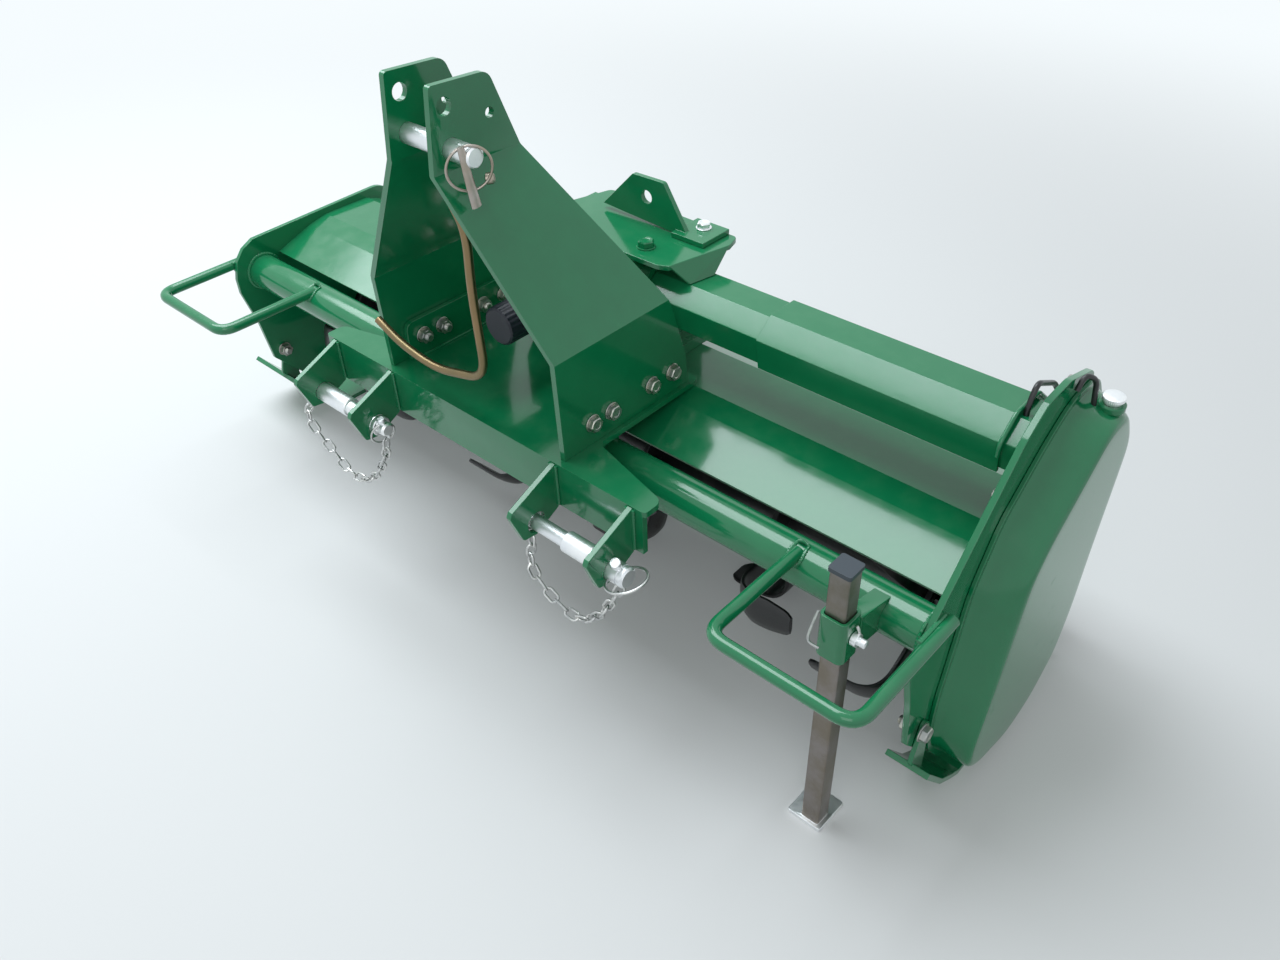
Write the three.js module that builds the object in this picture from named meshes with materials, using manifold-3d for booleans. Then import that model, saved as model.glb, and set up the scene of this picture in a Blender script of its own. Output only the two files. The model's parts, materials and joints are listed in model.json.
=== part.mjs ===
// Rotavator for a tractor's three-point hitch, side driven, 1.3 m wide between its side plates.
// Millimetres, +Z up. The machine travels towards -Y; the chain case is on the +X side, which is
// the left of someone who looks the way it travels. While it is modelled, x = 0 is midway between
// the side plates, y = 0 is near the rotor's axis and z = 0 is the ground under the skids. At the end
// the whole machine is moved so that its origin is the middle of its outer box, on the ground.
import * as THREE from "three";
import { ConvexGeometry } from "three/addons/geometries/ConvexGeometry.js";
import { mergeVertices } from "three/addons/utils/BufferGeometryUtils.js";
import Module from "manifold-3d";

const wasm = await Module();
wasm.setup();

// ---- Driving dimensions -------------------------------------------------------------------------
const FIT = 0.3; // gap between pieces that touch
const WORKING_WIDTH = 1300; // between the inner faces of the side plates
const PLATE = 8; // side plates, mast plates, yokes and hitch beam
const INNER = WORKING_WIDTH / 2; // inner faces of the side plates
const OUTER = INNER + PLATE;

const ROTOR = { y: -10, z: 172 }; // rotor axis
const BLADE_REACH = 165; // from the axis to a blade's tip
const ROTOR_TUBE_R = 36;
const JOURNAL_R = 24; // stub shafts at both ends of the rotor tube
const FLANGE_R = 78;
const FLANGE_T = 8;
const FLANGES = 6;
const BLADES_ON_A_FLANGE = 4;
const BLADE_T = 7;
const BLADE_W = 46;
const BLADE_FOOT = 100; // how far a blade's foot turns sideways

const TUBE = { y: -198, z: 312, r: 28.5, wall: 5 }; // round front tube
const HOOD_T = 4;
const RUN = 6; // running clearance of what turns or swings

const HITCH_X = 22; // middle of the headstock
const BEAM = { front: -307, top: 375, height: 65, halfWidth: 311 }; // folded beam of the headstock
const HOOD_TOP = BEAM.top - PLATE - 2 * FIT; // the beam's deck lies just above the hood
const YOKE = { spread: 224.5, gap: 120, reach: 78, pinY: -346, pinZ: 306 };
const PIN = { big: 14, small: 10, stub: 38 }; // stepped lower pins
const MAST = { outer: 172, upper: 41, foot: 375, fold1: 514, fold2: 714, top: 808 };
const TOP_PIN = { y: -303, z: 737, r: 12, stub: 40 };

const CROSS_SHAFT = { y: -30, z: 483 }; // cross shaft between the gearbox and the chain case
const LID = { top: 540, t: 7, lip: 6, lipLow: 512 };
const GEARBOX = { half: 92, front: -118, back: 62, bottom: 382, top: LID.top - LID.t - FIT };
const COVER_T = 4; // outer cover of the cross-shaft housing
const COVER = { from: 314, to: INNER - 16 };
const CASE = { depth: 52, flange: 5 };

const SKID = {
  from: INNER - 21, left: OUTER + 29, right: OUTER + 96, t: 8, tipY: -212, tipZ: 95, flatFrom: -110,
  back: 156, web: 6,
};
const STAND = {
  x: INNER - 66.5, y: -281, tube: 25, wall: 3, top: 424, capHalf: 14, footT: 6, play: 0.9,
};
const SLEEVE = { wall: 4, bottom: 304, top: 364, pinZ: 337, pinR: 5 };
const GUARD = { bar: 8.5, near: INNER - 170, front: -375, back: -190, z: 335, bend: 24 };
const FLAP = { t: 3.5, barrel: 13, rod: 6, length: 236, knuckle: 60, side: 7 };

// ---- Finishes -----------------------------------------------------------------------------------
const finish = (color, metalness, roughness) =>
  new THREE.MeshStandardMaterial({ color, metalness, roughness });
const GREEN = finish(0x17693a, 0.1, 0.3);
const ZINC = finish(0xc4c6c4, 0.9, 0.32);
const YELLOW_ZINC = finish(0xa09478, 0.85, 0.35);
const BLACK = finish(0x16171a, 0.2, 0.5);
const PLASTIC = finish(0x2b3040, 0, 0.45);
const STEEL = finish(0x8f8f8c, 0.9, 0.4);

// ---- Solids, outlines and placing ---------------------------------------------------------------
function solid(geometry) {
  const bare = geometry.clone();
  bare.deleteAttribute("normal");
  bare.deleteAttribute("uv");
  const merged = mergeVertices(bare, 1e-3);
  return new wasm.Manifold(
    new wasm.Mesh({
      numProp: 3,
      vertProperties: merged.attributes.position.array,
      triVerts: new Uint32Array(merged.index.array),
    }),
  );
}

const join = (...solids) => solids.reduce((all, next) => all.add(next));
const cut = (body, ...tools) => tools.reduce((rest, tool) => rest.subtract(tool), body);

// A closed outline from corners [u, v, fillet radius]; each fillet is an arc of short chords.
function outline(corners, chord = 15) {
  const points = [];
  corners.forEach(([u, v, radius = 0], i) => {
    const corner = new THREE.Vector2(u, v);
    if (!radius) {
      points.push(corner);
      return;
    }
    const last = corners[(i + corners.length - 1) % corners.length];
    const next = corners[(i + 1) % corners.length];
    const a = new THREE.Vector2(last[0], last[1]).sub(corner).normalize();
    const b = new THREE.Vector2(next[0], next[1]).sub(corner).normalize();
    const half = Math.acos(THREE.MathUtils.clamp(a.dot(b), -1, 1)) / 2;
    const centre = a.clone().add(b).normalize().multiplyScalar(radius / Math.sin(half)).add(corner);
    const start = corner.clone().addScaledVector(a, radius / Math.tan(half)).sub(centre);
    const turn = Math.PI - 2 * half;
    const way = Math.sign(-a.cross(b)) || 1;
    const steps = Math.max(1, Math.ceil(THREE.MathUtils.radToDeg(turn) / chord));
    for (let k = 0; k <= steps; k += 1) {
      points.push(start.clone().rotateAround(new THREE.Vector2(), (way * turn * k) / steps).add(centre));
    }
  });
  return points;
}

const box2 = (u0, v0, u1, v1, radius = 0) =>
  outline([[u0, v0, radius], [u1, v0, radius], [u1, v1, radius], [u0, v1, radius]]);

const circle = (u, v, radius, sides = 24) =>
  Array.from({ length: sides }, (_, k) => {
    const angle = (2 * Math.PI * k) / sides;
    return new THREE.Vector2(u + radius * Math.cos(angle), v + radius * Math.sin(angle));
  });

function prism(points, depth, basis, at) {
  const raw = new THREE.ExtrudeGeometry(new THREE.Shape(points), { depth, bevelEnabled: false });
  return solid(raw.applyMatrix4(basis).translate(at.x, at.y, at.z));
}

const X = new THREE.Vector3(1, 0, 0);
const Y = new THREE.Vector3(0, 1, 0);
const Z = new THREE.Vector3(0, 0, 1);
const BASIS_X = new THREE.Matrix4().makeBasis(Y, Z, X);
const BASIS_Y = new THREE.Matrix4().makeBasis(X, Z, Y.clone().negate());

// Prisms: an outline in (y, z) run along X, in (x, z) run along Y, in (x, y) run along Z.
const alongX = (points, x0, x1) => prism(points, x1 - x0, BASIS_X, new THREE.Vector3(x0, 0, 0));
const alongY = (points, y0, y1) => prism(points, y1 - y0, BASIS_Y, new THREE.Vector3(0, y1, 0));
const alongZ = (points, z0, z1) =>
  prism(points, z1 - z0, new THREE.Matrix4(), new THREE.Vector3(0, 0, z0));
const block = (x0, y0, z0, x1, y1, z1) => alongZ(box2(x0, y0, x1, y1), z0, z1);

// An open line of points [u, v] made into a sheet of one thickness below (to the right of) the line.
function sheet(line, thickness) {
  const points = line.map(([u, v]) => new THREE.Vector2(u, v));
  const normal = (k) => {
    const way = points[k + 1].clone().sub(points[k]).normalize();
    return new THREE.Vector2(way.y, -way.x);
  };
  const inner = points.map((point, k) => {
    const before = normal(Math.max(0, k - 1));
    const after = normal(Math.min(points.length - 2, k));
    const mitre = before.clone().add(after).normalize();
    return point.clone().addScaledVector(mitre, thickness / mitre.dot(after));
  });
  return [...points, ...inner.reverse()];
}

// Corners [u, v] in anticlockwise order, moved outwards by a distance.
function offset(corners, distance) {
  const count = corners.length;
  return corners.map(([u, v], k) => {
    const [a, b] = [corners[(k + count - 1) % count], corners[(k + 1) % count]];
    const before = new THREE.Vector2(v - a[1], a[0] - u).normalize();
    const after = new THREE.Vector2(b[1] - v, u - b[0]).normalize();
    const mitre = before.clone().add(after).normalize();
    const reach = distance / mitre.dot(after);
    return [u + mitre.x * reach, v + mitre.y * reach];
  });
}

// A round bar along straight runs that are joined by bends.
function bentBar(corners, radius, bend, steps = 36, sides = 10) {
  const path = new THREE.CurvePath();
  const at = corners.map((p) => new THREE.Vector3(...p));
  const towards = (k, other) => {
    const way = at[other].clone().sub(at[k]);
    return at[k].clone().addScaledVector(way.clone().normalize(), Math.min(bend, way.length() * 0.45));
  };
  let from = at[0];
  for (let k = 1; k < at.length - 1; k += 1) {
    const [into, out] = [towards(k, k - 1), towards(k, k + 1)];
    path.add(new THREE.LineCurve3(from, into));
    path.add(new THREE.QuadraticBezierCurve3(into, at[k], out));
    from = out;
  }
  path.add(new THREE.LineCurve3(from, at[at.length - 1]));
  const section = new THREE.Shape(circle(0, 0, radius, sides));
  return solid(new THREE.ExtrudeGeometry(section, { steps, extrudePath: path }));
}

const machine = new THREE.Group();
function add(name, body, material) {
  const { vertProperties, triVerts } = body.getMesh();
  const geometry = new THREE.BufferGeometry();
  geometry.setAttribute("position", new THREE.BufferAttribute(new Float32Array(vertProperties), 3));
  geometry.setIndex(new THREE.BufferAttribute(new Uint32Array(triVerts), 1));
  geometry.computeVertexNormals();
  const mesh = new THREE.Mesh(geometry, material);
  mesh.name = name;
  machine.add(mesh);
}

const SIDES = [["left", 1], ["right", -1]];
// The span between two distances from the middle plane, on the side that sign gives.
const span = (sign, near, far) => (sign > 0 ? [near, far] : [-far, -near]);

// ---- Side plates --------------------------------------------------------------------------------
const REAR_EDGE = 162;
const PLATE_FRONT = [[150, 60, 30], [-148, 60], [-222, 146], [-233, 222], [-250, 288]];
const LEFT_PLATE = [
  ...PLATE_FRONT, [-251, 297, 3], [-74, 500, 40], [-34, 528, 30], [16, 531, 30], [84, 512, 18],
  [120, 400, 60], [REAR_EDGE, 250, 40],
];
const RIGHT_PLATE = [
  ...PLATE_FRONT, [-250, 314], [-242, 344], [-226, 362], [-204, 373], [60, 380, 40], [118, 346, 30],
  [REAR_EDGE, 240, 40],
];

const journalHole = (x0, x1) => alongX(circle(ROTOR.y, ROTOR.z, JOURNAL_R + RUN), x0 - 1, x1 + 1);

function sidePlate(sign, corners) {
  const [x0, x1] = span(sign, INNER, OUTER);
  return cut(alongX(outline(corners), x0, x1), journalHole(x0, x1));
}
add("side_plate_left", sidePlate(1, LEFT_PLATE), GREEN);
add("side_plate_right", sidePlate(-1, RIGHT_PLATE), GREEN);

// ---- Front tube and hood ------------------------------------------------------------------------
const tubeReach = INNER - FIT;
const bore = alongX(circle(TUBE.y, TUBE.z, TUBE.r - TUBE.wall, 28), -tubeReach - 1, tubeReach + 1);
add("front_tube", cut(alongX(circle(TUBE.y, TUBE.z, TUBE.r, 28), -tubeReach, tubeReach), bore), GREEN);

const HINGE = { y: 187, z: 246 }; // axis of the rear flap's hinge
const HOOD_LINE = [
  [172, 262], [148, 296], [92, 342], [30, HOOD_TOP], [-58, HOOD_TOP], [-93, 359], [-163, 335],
];
function hood() {
  const skin = alongX(sheet([...HOOD_LINE].reverse(), HOOD_T), -INNER + FIT, INNER - FIT);
  return hingeCarriers().reduce((body, carrier) => join(body, carrier), skin);
}

// Knuckles alternate along the hinge: the hood's carriers, then the flap's barrels between them.
const KNUCKLES = 5;
const knuckleAt = (k) => -INNER + 90 + (k * (WORKING_WIDTH - 180)) / (KNUCKLES - 1);
function hingeCarriers() {
  const arm = [[166, 258], [176, 272], [HINGE.y + 4, HINGE.z + FLAP.barrel - 1], [HINGE.y - 8, HINGE.z]];
  return Array.from({ length: KNUCKLES }, (_, k) => {
    const x = knuckleAt(k);
    const [x0, x1] = [x - FLAP.knuckle / 2, x + FLAP.knuckle / 2];
    const barrel = alongX(circle(HINGE.y, HINGE.z, FLAP.barrel, 20), x0, x1);
    const hole = alongX(circle(HINGE.y, HINGE.z, FLAP.rod + FIT, 16), x0 - 1, x1 + 1);
    return cut(join(barrel, alongX(arm.map(([u, v]) => new THREE.Vector2(u, v)), x0, x1)), hole);
  });
}
add("hood", hood(), GREEN);

// ---- Rear flap, hung from the hinge rod ---------------------------------------------------------
const rodEnd = INNER - 40;
add(
  "flap_hinge_rod",
  join(
    alongX(circle(HINGE.y, HINGE.z, FLAP.rod, 16), -rodEnd, rodEnd),
    alongX(circle(HINGE.y, HINGE.z, FLAP.rod + 4, 16), rodEnd - 0.5, rodEnd + 5),
    alongX(circle(HINGE.y, HINGE.z, FLAP.rod + 4, 16), -rodEnd - 5, -rodEnd + 0.5),
  ),
  ZINC,
);

function rearFlap() {
  const half = INNER - FLAP.side;
  const top = [HINGE.y + 23, HINGE.z - 4];
  const low = HINGE.z - FLAP.length;
  const line = [
    top, [HINGE.y + 27, HINGE.z - 40], [HINGE.y + 40, HINGE.z - 120], [HINGE.y + 42, low + 56],
    [HINGE.y + 34, low + 22], [HINGE.y + 50, low + 4],
  ];
  const panel = alongX(sheet(line, FLAP.t), -half, half);
  const barrels = Array.from({ length: KNUCKLES - 1 }, (_, k) => {
    const x0 = knuckleAt(k) + FLAP.knuckle / 2 + RUN;
    const tongue = outline([
      [HINGE.y, HINGE.z - FLAP.barrel + 1], [HINGE.y + 24, HINGE.z - 24], [HINGE.y + 22, HINGE.z - 6],
      [HINGE.y + 8, HINGE.z + 9],
    ]);
    const round = alongX(circle(HINGE.y, HINGE.z, FLAP.barrel, 20), x0, x0 + FLAP.knuckle);
    return join(round, alongX(tongue, x0, x0 + FLAP.knuckle));
  });
  const rib = outline([
    [HINGE.y + 22, HINGE.z - 50], [HINGE.y + 38, low + 60], [HINGE.y + 33, low + 24],
    [HINGE.y + 44, low + 44], [HINGE.y + 56, low + 64], [HINGE.y + 54, HINGE.z - 120],
    [HINGE.y + 42, HINGE.z - 70],
  ]);
  const ribs = [-420, -140, 140, 420].map((x) => alongX(rib, x - 3, x + 3));
  const hole = alongX(circle(HINGE.y, HINGE.z, FLAP.rod + 1, 16), -half - 1, half + 1);
  return cut(join(panel, ...barrels, ...ribs), hole);
}
add("rear_flap", rearFlap(), GREEN);

// ---- Headstock: folded beam, yokes and pins -----------------------------------------------------
const beamBottom = BEAM.top - BEAM.height;
const deckHalf = MAST.outer + 6;
function hitchBeam() {
  const wing = (sign, x) => HITCH_X + sign * x;
  const half = (sign) => [
    [wing(sign, BEAM.halfWidth), BEAM.front, 6], [wing(sign, BEAM.halfWidth), BEAM.front + 30, 14],
    [wing(sign, deckHalf + 8), BEAM.front + 62], [wing(sign, deckHalf), BEAM.front + 70],
    [wing(sign, deckHalf), -48, 10],
  ];
  const top = alongZ(outline([...half(1), ...half(-1).reverse()]), BEAM.top - PLATE, BEAM.top);
  const [x0, x1] = [wing(-1, BEAM.halfWidth - 4), wing(1, BEAM.halfWidth - 4)];
  const front = block(x0, BEAM.front, beamBottom, x1, BEAM.front + PLATE, BEAM.top - 1);
  const rib = outline([
    [BEAM.front + 2, BEAM.top - 2], [BEAM.front + 2, beamBottom + 6], [TUBE.y - 20, beamBottom + 6],
    [TUBE.y + 14, TUBE.z + 24], [TUBE.y + 14, BEAM.top - 2],
  ]);
  const ribs = [-150, 0, 150].map((x) => alongX(rib, wing(1, x) - 4, wing(1, x) + 4));
  const clear = alongX(circle(TUBE.y, TUBE.z, TUBE.r + FIT, 28), -INNER, INNER);
  return cut(join(top, front, ...ribs), clear);
}
add("hitch_beam", hitchBeam(), GREEN);

const YOKE_PLATE = [
  [BEAM.front - FIT, BEAM.top - 1], [BEAM.front - FIT - YOKE.reach + 2, BEAM.top - 33, 4],
  [BEAM.front - FIT - YOKE.reach - 1, BEAM.top - 40, 4], [BEAM.front - 62, YOKE.pinZ - 16, 6],
  [BEAM.front - 40, YOKE.pinZ - 19, 8], [BEAM.front - FIT, beamBottom - 3],
];
function yokePlate(x) {
  const hole = alongX(circle(YOKE.pinY, YOKE.pinZ, PIN.big + FIT), x - 1, x + PLATE + 1);
  return cut(alongX(outline(YOKE_PLATE), x, x + PLATE), hole);
}

// Each lower pin steps from a thick outer half to a thin inner half, and its collar and head hold it.
function lowerPin(sign, middle) {
  const at = (from, to) => [middle + sign * from, middle + sign * to].sort((a, b) => a - b);
  const round = (radius, from, to) => alongX(circle(YOKE.pinY, YOKE.pinZ, radius), ...at(from, to));
  const outside = YOKE.gap / 2 + PLATE;
  return join(
    round(PIN.big, -6, outside + PIN.stub * 0.7),
    round(PIN.small, -outside - PIN.stub * 0.6, 0),
    round(PIN.small + 4.5, -outside - 8, -outside - FIT),
  );
}
for (const [side, sign] of SIDES) {
  const middle = HITCH_X + sign * YOKE.spread;
  for (const [place, way] of [["outer", sign], ["inner", -sign]]) {
    const x = middle + way * (YOKE.gap / 2) + (way > 0 ? 0 : -PLATE);
    add(`yoke_${side}_${place}`, yokePlate(x), GREEN);
  }
  add(`lower_pin_${side}`, lowerPin(sign, middle), ZINC);
}

// ---- Mast ---------------------------------------------------------------------------------------
const MAST_SIDE = [
  [-297, MAST.foot + FIT], [-301, MAST.fold1], [-331, MAST.fold2], [-322, MAST.top, 5],
  [-241, MAST.top - 4, 16], [-205, MAST.fold2 - 2, 4], [-99, MAST.fold1 - 6, 6], [-70, 420, 10],
  [-66, MAST.foot + FIT],
];
const MAST_HOLES = [[-305, 783, 10], [-245, 760, 6], [TOP_PIN.y, TOP_PIN.z, TOP_PIN.r + FIT]];

function mastPlate(sign) {
  const line = [
    [MAST.outer, MAST.foot - 20], [MAST.outer, MAST.fold1], [MAST.upper, MAST.fold2],
    [MAST.upper, MAST.top + 20],
  ];
  const bent = sheet(line.reverse(), PLATE).map((p) => new THREE.Vector2(HITCH_X + sign * p.x, p.y));
  const reach = HITCH_X + sign * MAST.outer;
  const [x0, x1] = [Math.min(HITCH_X, reach) - 1, Math.max(HITCH_X, reach) + 1];
  const holes = MAST_HOLES.map(([y, z, r]) => alongX(circle(y, z, r, 20), x0, x1));
  const band = alongY(sign > 0 ? bent : bent.reverse(), -360, 0);
  return cut(band.intersect(alongX(outline(MAST_SIDE), x0, x1)), ...holes);
}

// Uprights on the beam that the mast plates are bolted to.
function mastFoot(sign) {
  const near = MAST.outer - PLATE - FIT;
  const [x0, x1] = sign > 0 ? [near - PLATE, near] : [-near, PLATE - near];
  const shape = outline([
    [-272, MAST.foot + FIT], [-272, 432, 12], [-82, 432, 12], [-82, MAST.foot + FIT],
  ]);
  return alongX(shape, HITCH_X + x0, HITCH_X + x1);
}
for (const [side, sign] of SIDES) {
  add(`mast_plate_${side}`, mastPlate(sign), GREEN);
  add(`mast_foot_${side}`, mastFoot(sign), GREEN);
}

const topPinRound = (radius, x0, x1) =>
  alongX(circle(TOP_PIN.y, TOP_PIN.z, radius), HITCH_X + x0, HITCH_X + x1);
add(
  "top_link_pin",
  join(
    topPinRound(TOP_PIN.r, -MAST.upper - 14, MAST.upper + TOP_PIN.stub),
    topPinRound(TOP_PIN.r + 5, -MAST.upper - 14, -MAST.upper - FIT),
  ),
  ZINC,
);

// ---- Gearbox, its lid and the stay bracket ------------------------------------------------------
function gearbox() {
  const g = GEARBOX;
  const side = outline([
    [g.front + 26, g.bottom, 10], [g.front, g.bottom + 34, 14], [g.front, g.top - 30, 14],
    [g.front + 26, g.top], [g.back - 20, g.top], [g.back, g.top - 26, 14], [g.back, g.bottom + 20, 14],
    [g.back - 22, g.bottom, 10],
  ]);
  const body = alongX(side, HITCH_X - g.half, HITCH_X + g.half);
  const base = block(
    HITCH_X - g.half - 26, g.front + 10, HOOD_TOP + FIT, HITCH_X + g.half + 26, g.back + 10, g.bottom + 1,
  );
  const beamRoom = block(-400, -400, BEAM.top - PLATE - 1, 400, -48 + FIT, BEAM.top + FIT);
  const snout = alongY(circle(HITCH_X, CROSS_SHAFT.z - 11, 52, 28), g.front - 16, g.front + 4);
  const well = alongY(circle(HITCH_X, CROSS_SHAFT.z - 11, 26, 24), g.front - 17, g.front - 4);
  const bossHalf = g.half + 14;
  const boss = alongX(circle(CROSS_SHAFT.y, CROSS_SHAFT.z, 46, 24), HITCH_X - bossHalf, HITCH_X + bossHalf);
  return cut(join(body, base, snout, boss), beamRoom, well);
}
add("gearbox", gearbox(), GREEN);

const PTO = { x: HITCH_X, z: CROSS_SHAFT.z - 11, tip: -226, r: 17.5 };
add(
  "pto_shaft",
  cut(
    alongY(circle(PTO.x, PTO.z, PTO.r, 24), PTO.tip, GEARBOX.front - 4 - FIT),
    ...Array.from({ length: 6 }, (_, k) => {
      const angle = (k * Math.PI) / 3;
      const at = [PTO.x + PTO.r * Math.cos(angle), PTO.z + PTO.r * Math.sin(angle)];
      return alongY(circle(at[0], at[1], 3.4, 8), PTO.tip - 1, PTO.tip + 70);
    }),
  ),
  STEEL,
);
add(
  "pto_cap",
  cut(
    alongY(circle(PTO.x, PTO.z, 27, 28), PTO.tip - 12, PTO.tip + 74),
    alongY(circle(PTO.x, PTO.z, PTO.r + FIT, 24), PTO.tip - FIT, PTO.tip + 75),
  ),
  PLASTIC,
);

// The lid's right edge is folded down to a lip that narrows towards its lower edge.
const LID_EDGE = [[169, -73], [192, 21]];
const LIP_EDGE = [[187, -53], [195, -13]];
function gearboxLid() {
  const plate = alongZ(
    outline([[-87, -82, 8], [155, -80, 10], ...LID_EDGE, [185, 45, 8], [-47, 52, 10], [-61, 5]]),
    LID.top - LID.t,
    LID.top,
  );
  const rim = (edge, z) =>
    edge.flatMap(([x, y]) => [new THREE.Vector3(x, y, z), new THREE.Vector3(x - LID.lip, y, z)]);
  return join(plate, solid(new ConvexGeometry([...rim(LID_EDGE, LID.top), ...rim(LIP_EDGE, LID.lipLow)])));
}
add("gearbox_lid", gearboxLid(), GREEN);

// An upright with an eye for the drive shaft's chain; one foot carries it, the rest stands clear.
const BRACKET = { t: 7, foot: 118, eye: [67, 578, 9] };
function stayBracket() {
  const low = LID.top + FIT;
  const upright = outline([
    [-14, low + 7], [43, low + 64, 6], [97, low + 65, 6], [137, low + 4], [BRACKET.foot + 2, low],
  ]);
  const hole = alongY(circle(...BRACKET.eye, 20), -1, BRACKET.t + 1);
  const foot = block(BRACKET.foot, -10, low, 172, 45, low + BRACKET.t);
  return cut(join(alongY(upright, 0, BRACKET.t), foot), hole);
}
add("stay_bracket", stayBracket(), GREEN);

// ---- Cross-shaft housing and its cover ----------------------------------------------------------
const HOUSING_SECTION = [
  [CROSS_SHAFT.y - 41, 454], [CROSS_SHAFT.y + 41, 454], [CROSS_SHAFT.y + 47, 491],
  [CROSS_SHAFT.y + 22, 511], [CROSS_SHAFT.y - 22, 511], [CROSS_SHAFT.y - 47, 491],
];
const housingFrom = HITCH_X + GEARBOX.half + 14 + FIT;
add("shaft_housing", alongX(outline(HOUSING_SECTION), housingFrom, INNER - FIT), GREEN);

add(
  "shaft_cover",
  cut(
    alongX(outline(offset(HOUSING_SECTION, COVER_T + FIT)), COVER.from, COVER.to),
    alongX(outline(offset(HOUSING_SECTION, FIT)), COVER.from - 1, COVER.to + 1),
    block(COVER.from - 1, CROSS_SHAFT.y - 40, 440, COVER.to + 1, CROSS_SHAFT.y + 40, 460),
  ),
  GREEN,
);

// ---- Chain case ---------------------------------------------------------------------------------
// The outline of its flange and that of its outer face; the walls between them are drafted.
const CASE_FOOT = [
  [-128, 34], [-60, 14], [30, 34], [92, 96], [126, 180], [140, 432], [92, 503], [24, 503], [-24, 474],
  [-101, 412], [-143, 336], [-160, 242], [-173, 175], [-172, 92],
];
const CASE_FACE = [
  [-120, 46], [-34, 27], [22, 44], [72, 92], [90, 165], [106, 352], [112, 428], [78, 480], [30, 480],
  [-20, 437], [-74, 392], [-103, 352], [-130, 202], [-150, 108], [-148, 70],
];
const FILLER = { x: OUTER + 33, y: 65, r: 14, top: 492 };

function chainCase() {
  const start = OUTER + FIT;
  const layer = (corners, inset, x) =>
    outline(offset(corners, -inset).map(([u, v]) => [u, v, 18]), 22).map(
      (p) => new THREE.Vector3(x, p.x, p.y),
    );
  const shell = solid(
    new ConvexGeometry([
      ...layer(CASE_FOOT, 7, start + 1),
      ...layer(CASE_FACE, 0, start + CASE.depth - 7),
      ...layer(CASE_FACE, 3, start + CASE.depth - 2),
      ...layer(CASE_FACE, 8, start + CASE.depth),
    ]),
  );
  const flange = alongX(outline(CASE_FOOT.map(([u, v]) => [u, v, 14])), start, start + CASE.flange);
  const boss = alongZ(circle(FILLER.x, FILLER.y, FILLER.r), FILLER.top - 60, FILLER.top);
  const pocket = alongX(circle(ROTOR.y, ROTOR.z, JOURNAL_R + RUN), start - 1, start + 26);
  return cut(join(shell, flange, boss), pocket);
}
add("chain_case", chainCase(), GREEN);
add(
  "filler_cap",
  join(
    alongZ(circle(FILLER.x, FILLER.y, FILLER.r - 4, 16), FILLER.top + FIT, FILLER.top + 5),
    alongZ(circle(FILLER.x, FILLER.y, FILLER.r - 1, 16), FILLER.top + 4, FILLER.top + 11),
  ),
  ZINC,
);

// ---- Rotor --------------------------------------------------------------------------------------
const rotorRound = (radius, x0, x1, sides = 24) => alongX(circle(ROTOR.y, ROTOR.z, radius, sides), x0, x1);
const tubeEnd = INNER - 14;
add(
  "rotor_shaft",
  join(rotorRound(ROTOR_TUBE_R, -tubeEnd, tubeEnd), rotorRound(JOURNAL_R, -OUTER - 30, OUTER + 16)),
  BLACK,
);

// A blade: a swept shank bolted to its flange, and a foot at its tip that is turned sideways.
function blade(x, turn, sign) {
  const half = BLADE_W / 2;
  const shank = outline([
    [48, -half], [100, -half], [BLADE_REACH - 12, -half - 14, 6], [BLADE_REACH - 3, half - 16],
    [BLADE_REACH - 30, half - 8], [96, half - 2], [48, half],
  ], 30);
  const foot = outline([
    [BLADE_REACH - 13, -half - 12], [BLADE_REACH - 6, -half - 10], [BLADE_REACH - 4.6, half - 18],
    [BLADE_REACH - 12, half - 17],
  ]);
  const near = x + sign * (FLANGE_T / 2 - 0.5);
  const reach = (depth) => [near, near + sign * depth].sort((a, b) => a - b);
  const flat = alongX(shank, ...reach(BLADE_T + 0.5));
  const turned = alongX(foot, ...reach(BLADE_FOOT));
  return join(flat, turned).rotate([turn, 0, 0]).translate([0, ROTOR.y, ROTOR.z]);
}

// One node for each flange with its four blades, bent left and right in turn. From flange to flange
// the blades go round in a helix; at the rotor's ends all of them are bent inwards.
const flangeX = (k) => -tubeEnd + 52 + (k * (2 * tubeEnd - 104)) / (FLANGES - 1);
for (let k = 0; k < FLANGES; k += 1) {
  const x = flangeX(k);
  const disc = cut(
    rotorRound(FLANGE_R, x - FLANGE_T / 2, x + FLANGE_T / 2, 28),
    rotorRound(ROTOR_TUBE_R + FIT, x - FLANGE_T, x + FLANGE_T),
  );
  const blades = Array.from({ length: BLADES_ON_A_FLANGE }, (_, n) => {
    const inwards = k === 0 ? 1 : k === FLANGES - 1 ? -1 : 0;
    return blade(x, (360 / BLADES_ON_A_FLANGE) * n + 26 * k, inwards || (n % 2 ? 1 : -1));
  });
  add(`blade_ring_${k + 1}`, join(disc, ...blades), BLACK);
}

// Bearing on the outside of the right side plate.
const bearingFace = -OUTER - FIT;
add(
  "rotor_bearing_right",
  cut(
    join(
      rotorRound(58, bearingFace - 10, bearingFace, 32),
      rotorRound(44, bearingFace - 36, bearingFace - 9, 32),
    ),
    rotorRound(JOURNAL_R + 1, bearingFace - 31, bearingFace + 1),
  ),
  GREEN,
);

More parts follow.
